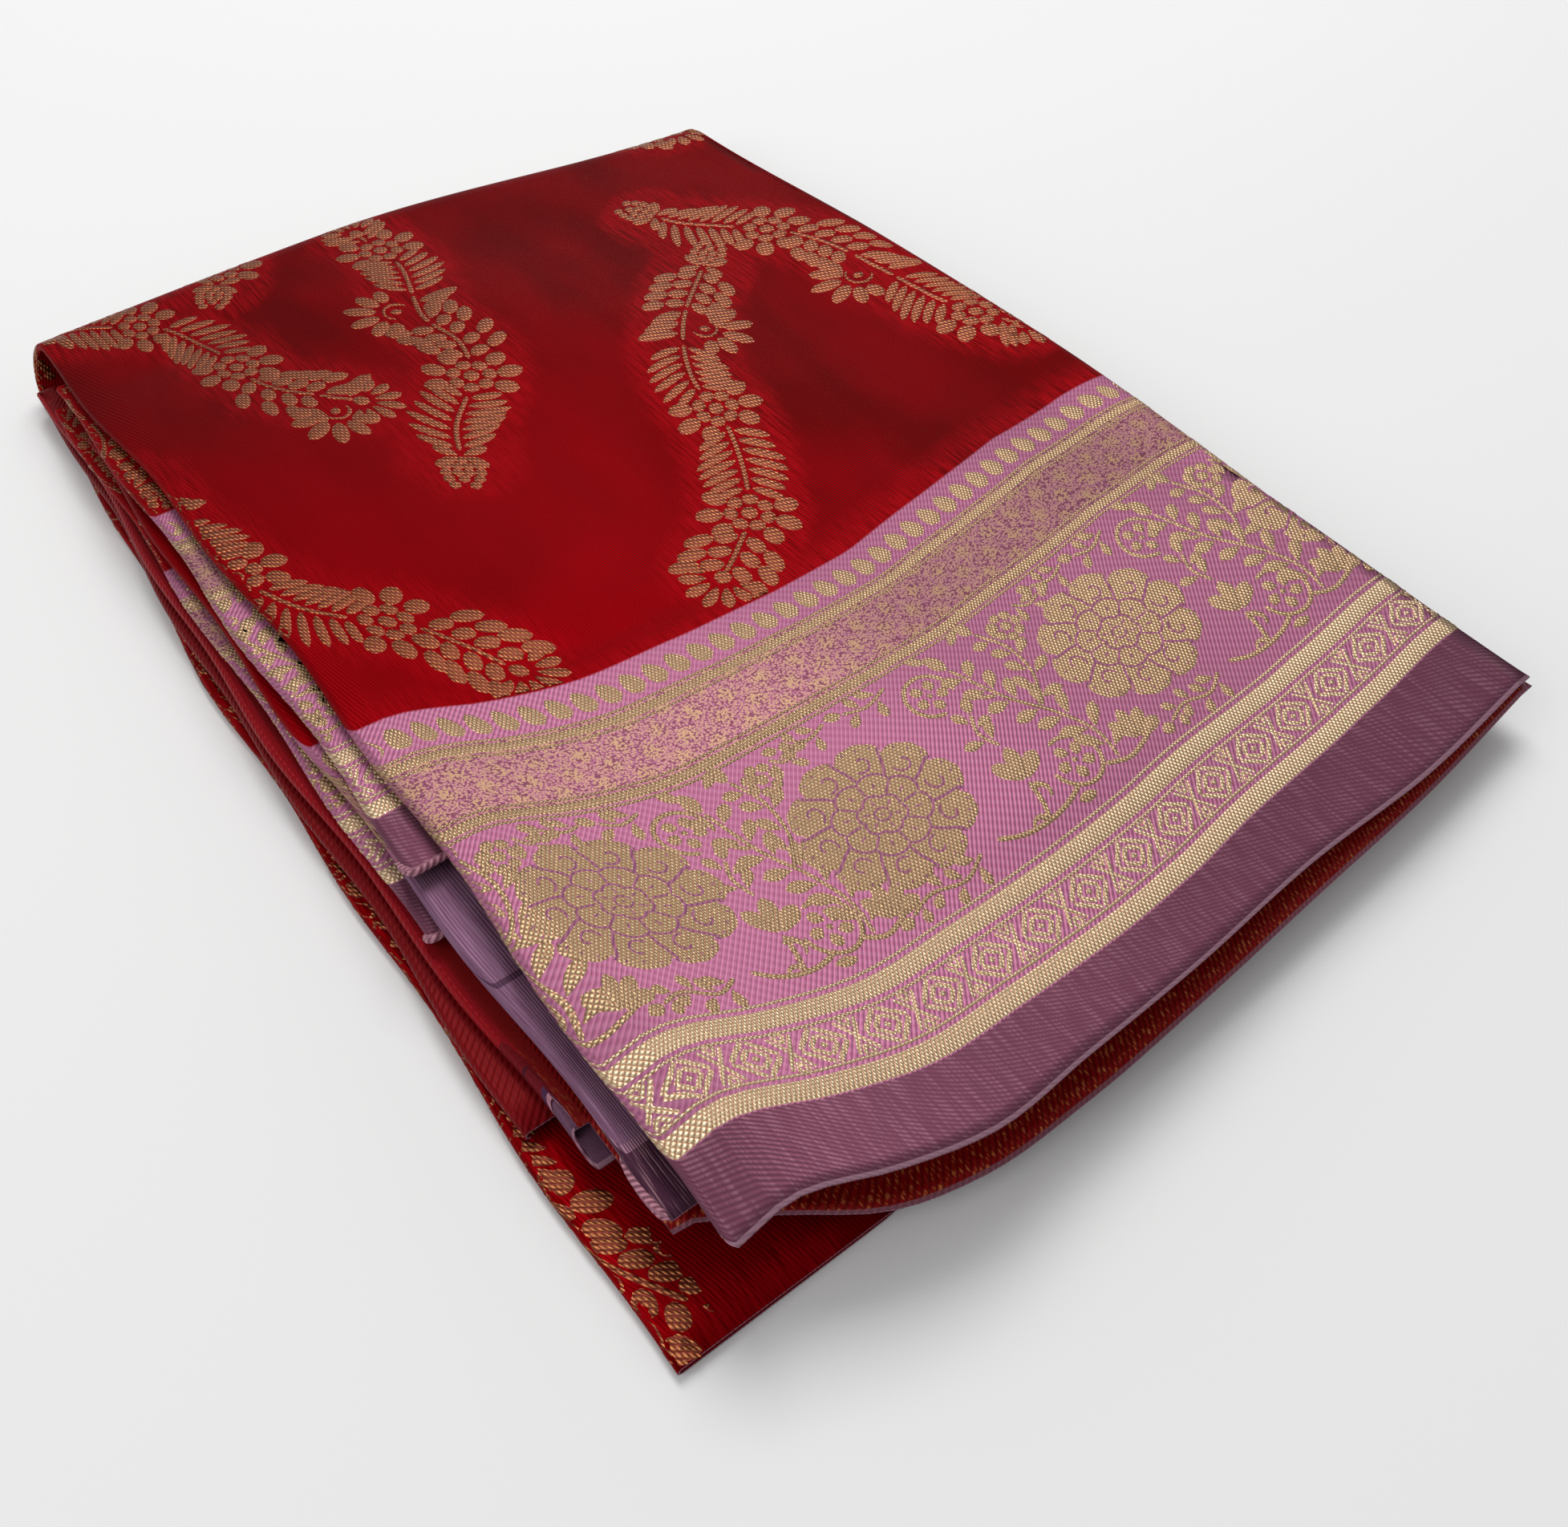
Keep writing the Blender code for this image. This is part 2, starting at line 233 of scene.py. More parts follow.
def hump(x):
    return np.sin(math.pi * np.clip(x / PACK_WIDTH, 0.0, 1.0))


def far_press(x, y):
    towards_far = ease((y - FAR_PRESS_START) / (PACK_LENGTH - FAR_PRESS_START))
    return towards_far * mix(1.0, FAR_PRESS_MIDDLE, hump(x))


def pressed(first, last, press):
    return sum(mix(row.body, row.far, press) for row in SPACINGS[first:last])


# Soft creases of the top sheet: the middle, the half length along the crease, the half width across it, the
# rise, or the fall where it is negative, and the turn of its length from the x axis, in degrees.
Crease = namedtuple("Crease", "x y half_length half_width rise turn")
CREASES = (
    Crease(0.058, 0.131, 0.034, 0.0045, -0.0009, -8.0),
    Crease(0.050, 0.150, 0.030, 0.0090, 0.0007, 20.0),
    Crease(0.100, 0.172, 0.045, 0.0080, -0.0006, 55.0),
    Crease(0.130, 0.215, 0.050, 0.0100, 0.0008, 62.0),
    Crease(0.080, 0.250, 0.038, 0.0080, -0.0005, 40.0),
    Crease(0.045, 0.205, 0.036, 0.0090, 0.0006, 75.0),
    Crease(0.165, 0.150, 0.032, 0.0075, -0.0005, 25.0),
    Crease(0.188, 0.205, 0.030, 0.0070, 0.0005, 80.0),
    Crease(0.150, 0.094, 0.060, 0.0050, 0.0005, 3.0),
    Crease(0.070, 0.086, 0.048, 0.0045, -0.0004, 5.0),
    Crease(0.120, 0.040, 0.040, 0.0075, 0.0006, -6.0),
    Crease(0.026, 0.276, 0.026, 0.0070, -0.0006, 15.0),
)


def slack(x, y):
    """Low waves and soft creases in the top sheet, fading out at its folds."""
    inside = ease(x / WAVE_FADE) * ease((PACK_WIDTH - x) / WAVE_FADE)
    inside = inside * ease(y / WAVE_FADE) * ease((PACK_LENGTH - y) / WAVE_FADE_FAR)
    rise = WAVE_HEIGHT * ease(y / WAVE_START) * np.sin(math.tau * (x / WAVE_ACROSS + y / WAVE_ALONG))
    for crease in CREASES:
        turn = math.radians(crease.turn)
        along_it = (x - crease.x) * math.cos(turn) + (y - crease.y) * math.sin(turn)
        across_it = (y - crease.y) * math.cos(turn) - (x - crease.x) * math.sin(turn)
        away = (along_it / crease.half_length) ** 2 + (across_it / crease.half_width) ** 2
        rise = rise + crease.rise * np.exp(-away)
    return rise * inside


def height(level, x, y):
    floor_height = SOLID_THICKNESS / 2
    press = far_press(x, y)
    open_end = 1.0 - ease(y / MOUTH_DEPTH)
    lip = floor_height + pressed(LIP_LEVEL, len(SPACINGS), press)
    if level > LIP_LEVEL:
        share = (len(SPACINGS) - level) / (len(SPACINGS) - LIP_LEVEL)
        sagging = floor_height + (np.minimum(lip, across("lip", x)) - floor_height) * share
        return mix(floor_height + pressed(level, len(SPACINGS), press), sagging, open_end)
    stack = pressed(0, LIP_LEVEL, press)
    right = mix(RIGHT_FOLD_HEIGHT, RIGHT_FOLD_HEIGHT_FAR, far_press(0.0, y))
    slope = ease((x - SLOPE_START) / (PACK_WIDTH - SLOPE_START))
    top = mix(lip + mix(stack, right, slope), across("top", x), open_end)
    lip = mix(lip, across("lip", x), open_end)
    share = pressed(level, LIP_LEVEL, press) / stack
    return mix(lip, top, share) + (slack(x, y) if level == 0 else 0.0)


def plan_y(level, x, y):
    if level < LIP_LEVEL:
        bow = across("top_out", x) * (1.0 - ease((y - TOP_BOW_START) / (TOP_BOW_END - TOP_BOW_START)))
    elif level == LIP_LEVEL:
        bow = across("lip_out", x) * (1.0 - ease(y / LIP_BOW_END))
    else:
        bow = 0.0
    far = ease((y - FAR_BOW_START) / (PACK_LENGTH - FAR_BOW_START))
    skew = FAR_SKEW * np.clip(x, -SKEW_OVERHANG, PACK_WIDTH + SKEW_OVERHANG) / PACK_WIDTH
    return y - bow + far * (FAR_BOW * hump(x) + skew)


def fold_edge(fold, y, below):
    reach = along(fold.below if below and fold.below else fold.reach, y)
    if fold.side > 0:
        return reach
    phase = FOLDS.index(fold) + (0.5 if below else 0.0)
    return reach + SIDE_WAVE * np.sin(math.tau * y / SIDE_WAVE_LENGTH + phase * SIDE_WAVE_SHIFT)


UPPER_ROWS = np.linspace(0.0, FAR_TURN, 102)
TURN_STEPS = 12
LOWER_ROWS = np.linspace(FAR_TURN, FLOOR_EDGE, 46)
STATION_STEP = 0.0040
STATION_MARGIN = 0.006
FOLD_STEPS = 10
TURN_LENGTH = 0.030
Column = namedtuple("Column", "layer onward fold station angle")


def column_rows(column):
    """The points, and the distance along the weave from the layer's own edge, at every row of a column."""
    layer, onward, fold, station, angle = column
    weight = (1.0 - math.cos(angle)) / 2.0

    def half(ys, below):
        first = layer.level_below if below else layer.level
        last = onward.level_below if below else onward.level
        if fold is None:
            x = np.full_like(ys, station)
            if below:
                fold_inside = fold_edge(SIDE_FOLD, ys, True) - FOLD_ROOM
                x = np.minimum(x, fold_inside - (SIDE_FOLD.reach[1] - station) * CROWDED)
            return np.stack([x, plan_y(first, x, ys), height(first, x, ys)], axis=1)
        x = fold_edge(fold, ys, below)
        start, end = height(first, x, ys), height(last, x, ys)
        inward = np.abs(start - end) / 2.0 * (1.0 - math.sin(angle))
        y = mix(plan_y(first, x, ys), plan_y(last, x, ys), weight)
        return np.stack([x - fold.side * inward, y, mix(start, end, weight)], axis=1)

    near = mix(*fold.near, weight) if fold else layer.near
    far = min(layer.far, onward.far)
    shown = np.append(UPPER_ROWS[1:] > near, True) & (np.insert(UPPER_ROWS[:-1], 0, 0.0) < far)
    ys = np.clip(UPPER_ROWS, near, far)
    points = half(ys, False)
    points[~shown] = np.nan
    edge = ys - near
    empty = np.full((TURN_STEPS - 1 + len(LOWER_ROWS), 3), np.nan)
    wraps = layer.level_below is not None and onward.level_below is not None
    if not wraps or (station is not None and station > layer.wrap_width):
        return np.vstack([points, empty]), np.append(edge, np.zeros(len(empty)))
    if fold:
        near_below = mix(*fold.near_below, weight)
    else:
        near_below = layer.near_below
        if layer.name == "top":
            span = FLOOR_SETBACK_END - FLOOR_SETBACK_START
            near_below += FLOOR_SETBACK * float(ease((station - FLOOR_SETBACK_START) / span))
    ys_below = np.maximum(LOWER_ROWS, near_below)
    below = half(ys_below, True)
    below[np.insert(LOWER_ROWS[:-1], 0, 1.0) <= near_below] = np.nan
    turns = math.pi * np.arange(1, TURN_STEPS) / TURN_STEPS
    part = ((1.0 - np.cos(turns)) / 2.0)[:, None]
    reach = mix(layer.turn_reach, onward.turn_reach, weight)
    turned = points[-1] + (below[0] - points[-1]) * part
    turned[:, 1] += reach * np.sin(turns)
    edge_turn = FAR_TURN - near + TURN_LENGTH * turns / math.pi
    edge_below = FAR_TURN - near + TURN_LENGTH + (FAR_TURN - ys_below)
    return np.vstack([points, turned, below]), np.concatenate([edge, edge_turn, edge_below])


def cloth_columns():
    found = [Column(LAYERS[0], LAYERS[0], None, FIRST_FREE_EDGE, 0.0)]
    start, heading = FIRST_FREE_EDGE, -1
    for index, layer in enumerate(LAYERS):
        last = index == len(FOLDS)
        stop = LAST_FREE_EDGE if last else FOLDS[index].reach[1]
        low, high = sorted((start, stop))
        low, high = low + STATION_MARGIN, high - STATION_MARGIN
        inside = list(np.linspace(low, high, int((high - low) / STATION_STEP) + 1))
        inside = inside if heading > 0 else inside[::-1]
        found += [Column(layer, layer, None, float(x), 0.0) for x in inside]
        if last:
            found.append(Column(layer, layer, None, LAST_FREE_EDGE, 0.0))
            break
        for step in range(FOLD_STEPS + 1):
            found.append(Column(layer, LAYERS[index + 1], FOLDS[index], None, math.pi * step / FOLD_STEPS))
        start, heading = stop, -heading
    return found


def travelled(points):
    """How far along a line each of its points lies."""
    return np.concatenate([[0.0], np.cumsum(np.linalg.norm(np.diff(points, axis=0), axis=1))])


COLUMNS = cloth_columns()
solved = [column_rows(column) for column in COLUMNS]
GRID = np.array([points for points, edge in solved])
GRID[:, :, :2] += np.array(PACK_CORNER[:2])
WEAVE_V = np.array([edge for points, edge in solved])
FLAT_EDGE = WEAVE_V.copy()
middle_row = int(np.searchsorted(UPPER_ROWS, PACK_LENGTH / 2))
ACROSS = travelled(GRID[:, middle_row])
top_columns = [i for i, c in enumerate(COLUMNS) if c.layer.name == "top" and c.station is not None]
TOP_FIRST, TOP_LAST = top_columns[0], top_columns[-1]
ACROSS -= ACROSS[TOP_FIRST] - COLUMNS[TOP_FIRST].station

# The weave isn't even over the top sheet: it is a little denser by the near-left folds, and its border swings
# to and fro. The place along the length is weave_u, and the distance from the selvedge is weave_v.
DENSER_LEFT = 1.25
LOOSER_RIGHT = 0.80
Swing = namedtuple("Swing", "x out")
SWINGS = (Swing(0.000, 0.0016), Swing(0.020, 0.0008), Swing(0.037, 0.0000), Swing(0.053, -0.0008),
          Swing(0.072, -0.0020), Swing(0.093, -0.0026), Swing(0.117, -0.0025), Swing(0.145, -0.0004),
          Swing(0.175, 0.0024), Swing(0.205, 0.0032), Swing(0.225, 0.0026))
SWING_START = 0.037
SWING_END = 0.125
SWING_GROWTH = 1.5
SWING_FADE = 0.02
SWING_RIGHT_END = 0.245
SWING_FROM_SELVEDGE = 0.012

over_top = np.clip(ACROSS, 0.0, PACK_WIDTH)
WEAVE_U = DENSER_LEFT * over_top - (DENSER_LEFT - LOOSER_RIGHT) / (2 * PACK_WIDTH) * over_top ** 2
WEAVE_U += ACROSS - over_top
swing = np.interp(ACROSS, [row.x for row in SWINGS], [row.out for row in SWINGS])
swing *= ease((ACROSS + SWING_FADE) / SWING_FADE) * ease((SWING_RIGHT_END - ACROSS) / SWING_FADE)
growth = 1.0 + SWING_GROWTH * np.clip((WEAVE_V - SWING_START) / (SWING_END - SWING_START), 0.0, 1.0)
WEAVE_V = WEAVE_V - swing[:, None] * growth * ease(WEAVE_V / SWING_FROM_SELVEDGE)

# Below the far turn the outer fold lies out flat, so more of the cloth's length is in it there. It is the
# columns from the first number here to the second.
TURN_FIRST = len(UPPER_ROWS) - 1
TURN_LAST = TURN_FIRST + TURN_STEPS
FLAT_FOLD_FROM, FLAT_FOLD_TO = 186, 207
OVER_U = np.repeat(WEAVE_U[:, None], GRID.shape[1], axis=1)
steps_across = np.linalg.norm(np.diff(GRID, axis=0), axis=2) - np.diff(ACROSS)[:, None]
steps_across = np.where(np.isnan(steps_across), 0.0, np.maximum(steps_across, 0.0))
steps_across[:FLAT_FOLD_FROM] = 0.0
steps_across[FLAT_FOLD_TO:] = 0.0
extra_length = np.cumsum(steps_across[::-1], axis=0)[::-1]
in_turn = np.clip((np.arange(GRID.shape[1]) - TURN_FIRST) / (TURN_LAST - TURN_FIRST), 0.0, 1.0)
OVER_U[:-1] -= extra_length * in_turn


PLAIN_END_DEPTH = 0.084


def zone_of(column):
    """0 where the body and its border show, 1 on the plain mauve end, 2 on the striped end."""
    inside_lip = column.layer.name == "lip" and column.station is not None
    if inside_lip or column.onward.weave != column.layer.weave:
        return 0.0
    return float(column.layer.weave)


# The body's vines, each a run of places along its stem: the place along the length, then the distance from
# the selvedge. Five lie on the top sheet, one on the far turn, three along the outer fold, four underneath
# and two on the stacked folds.
Vine = namedtuple("Vine", "name stem")
VINES = (
    Vine("far_right", ((0.182, 0.259), (0.186, 0.250), (0.195, 0.240), (0.204, 0.229), (0.210, 0.215),
          (0.213, 0.195), (0.216, 0.174), (0.224, 0.156))),
    Vine("middle", ((0.178, 0.230), (0.156, 0.2135), (0.142, 0.195), (0.138, 0.178), (0.131, 0.163),
          (0.1215, 0.149), (0.111, 0.141), (0.103, 0.136))),
    Vine("far_left", ((0.006, 0.306), (0.022, 0.298), (0.037, 0.289), (0.045, 0.271), (0.048, 0.250),
          (0.059, 0.237), (0.066, 0.231))),
    Vine("left_middle", ((0.0755, 0.200), (0.082, 0.212), (0.095, 0.225), (0.101, 0.239), (0.100, 0.256),
          (0.108, 0.281), (0.107, 0.304))),
    Vine("near_left", ((-0.004, 0.224), (-0.001, 0.205), (0.004, 0.184), (0.011, 0.166), (0.021, 0.157),
          (0.032, 0.152), (0.040, 0.142), (0.046, 0.133))),
    Vine("far_turn", ((0.060, 0.300), (0.075, 0.322), (0.110, 0.338), (0.150, 0.330), (0.190, 0.322),
          (0.215, 0.300))),
    Vine("under_left", ((-0.020, 0.330), (-0.008, 0.352), (-0.016, 0.380), (-0.026, 0.405), (-0.012, 0.430),
          (-0.004, 0.452))),
    Vine("ridge", ((-0.002, 0.470), (-0.008, 0.488), (-0.005, 0.506), (-0.009, 0.524), (-0.004, 0.540))),
    Vine("near_corner", ((-0.006, 0.548), (-0.008, 0.570), (-0.010, 0.590), (-0.016, 0.606),
          (-0.024, 0.618), (-0.034, 0.627))),
    Vine("under_middle", ((0.060, 0.370), (0.085, 0.395), (0.080, 0.430), (0.060, 0.455), (0.072, 0.490),
          (0.100, 0.510))),
    Vine("under_right", ((0.120, 0.380), (0.150, 0.400), (0.180, 0.388), (0.205, 0.405), (0.212, 0.440))),
    Vine("under_far_right", ((0.140, 0.440), (0.150, 0.475), (0.135, 0.505), (0.150, 0.540), (0.180, 0.560),
          (0.205, 0.548))),
    Vine("on_second_fold", ((-0.182, 0.137), (-0.184, 0.150), (-0.180, 0.165), (-0.183, 0.180),
          (-0.181, 0.192))),
    Vine("on_lower_fold", ((-0.512, 0.140), (-0.510, 0.155), (-0.513, 0.170), (-0.510, 0.185),
          (-0.512, 0.198))),
    Vine("under_near", ((0.060, 0.560), (0.085, 0.580), (0.115, 0.572), (0.140, 0.590), (0.165, 0.618))),
)
VINE_POINT_SPACING = 0.001


def smooth_line(points, spacing):
    """A smooth line through a few places, with an even spacing."""
    points = np.array(points, dtype=float)
    padded = np.vstack([2 * points[0] - points[1], points, 2 * points[-1] - points[-2]])
    fine = []
    for i in range(1, len(padded) - 2):
        before, start, end, after = padded[i - 1:i + 3]
        t = np.linspace(0.0, 1.0, 40, endpoint=False)[:, None]
        bend = 2 * before - 5 * start + 4 * end - after
        twist = 3 * start - before - 3 * end + after
        fine.append(0.5 * (2 * start + (end - before) * t + bend * t ** 2 + twist * t ** 3))
    fine = np.vstack(fine + [points[-1:]])
    travel = travelled(fine)
    even = np.linspace(0.0, travel[-1], max(2, int(travel[-1] / spacing) + 1))
    return np.stack([np.interp(even, travel, fine[:, 0]), np.interp(even, travel, fine[:, 1])], axis=1)


STEMS = {vine.name: smooth_line(vine.stem, VINE_POINT_SPACING) for vine in VINES}

# Painted sheen: the satin is painted brighter close to a vine: 1 within the first distance of a stem, 0 beyond
# the second.
VINE_SHEEN_INNER = 0.0135
VINE_SHEEN_OUTER = 0.0175
stem_places = np.vstack([stem[::3] for stem in STEMS.values()])
nearest = np.full(WEAVE_V.shape, 1.0)
for place in stem_places:
    nearest = np.minimum(nearest, np.hypot(OVER_U - place[0], WEAVE_V - place[1]))
VINE_SHEEN = 1.0 - ease((nearest - VINE_SHEEN_INNER) / (VINE_SHEEN_OUTER - VINE_SHEEN_INNER))

# The inner fold, which is these columns, stops short of the others at the near end, below.
INNER_FOLD_FIRST, INNER_FOLD_LAST = 314, 342
INNER_FOLD_END = 0.566
column_numbers = np.arange(len(COLUMNS))
inner_fold = (column_numbers >= INNER_FOLD_FIRST) & (column_numbers <= INNER_FOLD_LAST)
below = np.arange(GRID.shape[1]) > TURN_LAST
GRID[inner_fold[:, None] & below & (WEAVE_V > INNER_FOLD_END)] = np.nan
shown = ~np.isnan(GRID[:, :, 0])
number = np.full(shown.shape, -1)
number[shown] = np.arange(shown.sum())
corners = (number[:-1, :-1], number[1:, :-1], number[1:, 1:], number[:-1, 1:])
whole = np.all([corner >= 0 for corner in corners], axis=0)
faces = np.stack([corner[whole] for corner in corners], axis=1)
used = np.zeros(shown.sum(), dtype=bool)
used[faces.ravel()] = True
faces = (np.cumsum(used) - 1)[faces]
zones = np.array([zone_of(column) for column in COLUMNS])
zones = np.repeat(zones[:, None], shown.shape[1], axis=1)
zones[(zones == 1.0) & (WEAVE_V > PLAIN_END_DEPTH)] = 0.0
zones[(zones == 2.0) & below] = 0.0


def woven_mesh(name, points, faces, places):
    """An object made of quads, with the place on the weave of each point as its UV map."""
    mesh = bpy.data.meshes.new(name)
    mesh.from_pydata(points.tolist(), [], faces.tolist())
    mesh.uv_layers.new(name="weave").data.foreach_set("uv", places[faces.ravel()].astype(np.float32).ravel())
    mesh.shade_smooth()
    made = bpy.data.objects.new(name, mesh)
    bpy.context.scene.collection.objects.link(made)
    return made


places = np.stack([OVER_U[shown][used], WEAVE_V[shown][used]], axis=1)
cloth = woven_mesh("silk_sheet", GRID[shown][used], faces, places)
for name, values in (("zone", zones), ("vine_sheen", VINE_SHEEN)):
    marks = cloth.data.attributes.new(name, "FLOAT", "POINT")
    marks.data.foreach_set("value", values[shown][used].astype(np.float32))


# Silk satin with a brocade border: the warp lies over the weft in long floats, which gives the red body its
# deep glow and fine lines across the length; part of that glow is painted sheen in the red. The border is a
# twill of pink warp, its selvedge a mauve one.

# Real silk threads lie about 0.1 mm apart, too fine to show, so all these lines are drawn 0.7 to 0.9 mm apart.
WARP_LINES = 0.0008
TWILL_LINES = 0.00090
SELVEDGE_LINES = 0.0009
RIB_LINES = 0.0007
TRELLIS_PITCH = 0.0064
GRAINS_PER_MM = (1.9, 2.3)
SELVEDGE_WIDTH = 0.0155
SELVEDGE_CORD = 0.0008
BORDER_WIDTH = 0.125
SPECKLE_START = 0.0905
SPECKLE_END = 0.1135


def join(node, links):
    """Sets inputs of a node, each to a socket or to a plain value."""
    for name, value in links.items():
        if isinstance(value, bpy.types.NodeSocket):
            node.id_data.links.new(value, node.inputs[name])
        else:
            node.inputs[name].default_value = value


def add(material, kind, settings=None, links=None, output=0):
    """Adds a node to a material with its settings and links, and gives one of its outputs."""
    node = material.node_tree.nodes.new("ShaderNode" + kind)
    for name, value in (settings or {}).items():
        setattr(node, name, value)
    join(node, links or {})
    return node.outputs[output]


def woven(name):
    """A new material, and the place on the weave, which its patterns read."""
    material = bpy.data.materials.new(name)
    material.use_nodes = True
    return material, add(material, "UVMap", {"uv_map": "weave"})


def stripes(material, weave, across_length, from_edge, pitch):
    """Even lines over the weave, from 0 to 1, that cross its length and width by the given amounts."""
    turns = (across_length / pitch, from_edge / pitch, 0.0)
    phase = add(material, "VectorMath", {"operation": "DOT_PRODUCT"}, {0: weave, 1: turns}, "Value")
    angle = add(material, "Math", {"operation": "MULTIPLY"}, {0: phase, 1: math.tau})
    wave = add(material, "Math", {"operation": "SINE"}, {0: angle})
    return add(material, "MapRange", {}, {"Value": wave, "From Min": -1.0})


def uneven(material, weave, per_mm, detail):
    """Soft unevenness, from how many changes a millimetre has along the cloth and across it."""
    scale = (1000.0 * per_mm[0], 1000.0 * per_mm[1], 1.0)
    place = add(material, "Mapping", {}, {"Vector": weave, "Scale": scale})
    return add(material, "TexNoise", {}, {"Vector": place, "Scale": 1.0, "Detail": detail}, "Fac")


def rising(material, readings):
    """Under each name a share that rises from 0 at the first reading of a value to 1 at the second."""
    shares = {}
    for name, (value, zero, one) in readings.items():
        shares[name] = add(material, "MapRange", {}, {"Value": value, "From Min": zero, "From Max": one})
    return shares


def dyed(material, colour, *coats):
    """A colour with others laid over it. A coat is its colour, then the shares that say where it lies."""
    for over, share, *others in coats:
        for other in others:
            share = add(material, "Math", {"operation": "MULTIPLY"}, {0: share, 1: other})
        colour, over = [linear(end) if isinstance(end, str) else end for end in (colour, over)]
        colour = add(material, "Mix", {"data_type": "RGBA"}, {0: share, 6: colour, 7: over}, 2)
    return colour


silk, weave = woven("silk_satin_and_brocade")
from_edge = add(silk, "SeparateXYZ", {}, {"Vector": weave}, "Y")
zone = add(silk, "Attribute", {"attribute_name": "zone"}, {}, "Fac")
vine_sheen = add(silk, "Attribute", {"attribute_name": "vine_sheen"}, {}, "Fac")
warp = stripes(silk, weave, 0.97, 0.23, WARP_LINES)
twill = stripes(silk, weave, 0.77, -0.64, TWILL_LINES)
cross = stripes(silk, weave, 0.64, 0.77, 2.2 * TWILL_LINES)
selvedge_rows = stripes(silk, weave, 0.45, 0.89, SELVEDGE_LINES)
fine_ribs = stripes(silk, weave, 1.0, 0.03, RIB_LINES)
streaks = uneven(silk, weave, (1.4, 0.10), 3.0)
# Soft clouds over the red, partly slubs of the thread and partly painted sheen and shade of the satin.
slubs_and_sheen = uneven(silk, weave, (0.045, 0.02), 2.0)
grain_scale = (1000.0 * GRAINS_PER_MM[0], 1000.0 * GRAINS_PER_MM[1], 1.0)
grain_place = add(silk, "Mapping", {}, {"Vector": weave, "Scale": grain_scale})
grains = add(silk, "TexVoronoi", {"feature": "F1"}, {"Vector": grain_place, "Scale": 1.0}, "Distance")
where = rising(silk, {
    "cloudy_slubs_and_sheen": (slubs_and_sheen, 0.36, 0.64),
    # Painted sheen: the near and left shares say where the red is painted lighter, nearer the border and
    # towards the left.
    "near": (from_edge, 0.26, 0.19),
    "left": (from_edge.node.outputs["X"], 0.150, 0.090),
    "border_sheen": (from_edge, BORDER_WIDTH + 0.0105, BORDER_WIDTH + 0.0025),
    "ragged": (streaks, 0.36, 0.60),
    "dashed": (streaks, 0.45, 0.65),
    "streaky": (streaks, 0.3, 0.7),
    "between_grains": (grains, 0.42, 0.75),
    "past_cord": (from_edge, SELVEDGE_CORD - 0.0001, SELVEDGE_CORD + 0.0001),
    "past_selvedge": (from_edge, SELVEDGE_WIDTH - 0.00015, SELVEDGE_WIDTH + 0.00015),
    "past_speckle_start": (from_edge, SPECKLE_START - 0.0003, SPECKLE_START + 0.0003),
    "before_speckle_end": (from_edge, SPECKLE_END + 0.0003, SPECKLE_END - 0.0003),
    "past_border": (from_edge, BORDER_WIDTH - 0.0003, BORDER_WIDTH + 0.0003),
    "past_flap": (from_edge, 0.0136, 0.0140),
    "plain_end": (zone, 0.48, 0.52),
    "striped_end": (zone, 1.48, 1.52),
})
in_speckle = (where["past_speckle_start"], where["before_speckle_end"])
# Painted sheen: the red is painted brighter in ragged streaks beside the vines and along the border's inner
# edge.
bright = add(silk, "Math", {"operation": "MAXIMUM"}, {0: vine_sheen, 1: where["border_sheen"]})
# Painted sheen: the red is painted lighter nearer the border and towards the left.
crimson = dyed(silk, "#640002", ("#7a0006", where["cloudy_slubs_and_sheen"]), ("#98040e", where["near"], where["left"], 0.50),
               ("#3c0002", warp, 0.45), ("#8a040c", bright, where["ragged"]))

# Between the narrow bands the gold thread makes small grains, larger along a trellis.
trellis = [stripes(silk, weave, 0.7, slope, TRELLIS_PITCH) for slope in (0.7, -0.7)]
trellis = add(silk, "Math", {"operation": "MULTIPLY"}, {0: trellis[0], 1: trellis[1]})
grain_size = add(silk, "MapRange", {}, {"Value": trellis, "From Max": 0.8, "To Min": 0.42, "To Max": 0.60})
gold_grain = add(silk, "Math", {"operation": "LESS_THAN"}, {0: grains, 1: grain_size})
speckle = dyed(silk, "#ac6e88", ("#70404e", where["between_grains"]), ("#aa866a", gold_grain))
pink = dyed(silk, "#ab6884", ("#6f3756", twill, 0.55), ("#bf88a2", cross, 0.22), (speckle, *in_speckle))
mauve = dyed(silk, "#63394a", ("#784759", selvedge_rows, 0.55),
             ("#a0727f", selvedge_rows, where["dashed"], 0.45))
body = dyed(silk, "#a9808f", (mauve, where["past_cord"]), (pink, where["past_selvedge"]),
            (crimson, where["past_border"]))

# The plain end has a pressed crease, drawn as a dark line of painted shade, a rolled hem, and beside that the
# darker part under the flap.
crease = add(silk, "Math", {"operation": "COMPARE"}, {0: from_edge, 1: 0.0539, 2: 0.0007})
rolled = add(silk, "Math", {"operation": "COMPARE"}, {0: from_edge, 1: 0.0146, 2: 0.0009})
plain_end = dyed(silk, "#765068", ("#57374c", fine_ribs, 0.5), ("#93708a", where["streaky"], 0.6),
                 ("#3a2434", crease, 0.7))
flap_silk = dyed(silk, "#47293a", ("#8e6a72", where["dashed"], fine_ribs))
hem = dyed(silk, "#5e3a50", ("#a67c8e", fine_ribs))
plain_end = dyed(silk, flap_silk, (plain_end, where["past_flap"]), (hem, rolled))

Band = namedtuple("Band", "start colour")
STRIPED_END_DEPTH = 0.05
STRIPED_END_BANDS = (
    Band(0.0000, "#a9808f"),
    Band(0.0008, "#6a4a60"),
    Band(0.0092, "#3c2030"),
    Band(0.0100, "#b07888"),
    Band(0.0118, "#4c2c49"),
    Band(0.0140, "#6a0c18"),
    Band(0.0200, "#3c1024"),
    Band(0.0208, "#6c0610"),
    Band(0.0290, "#900512"),
)


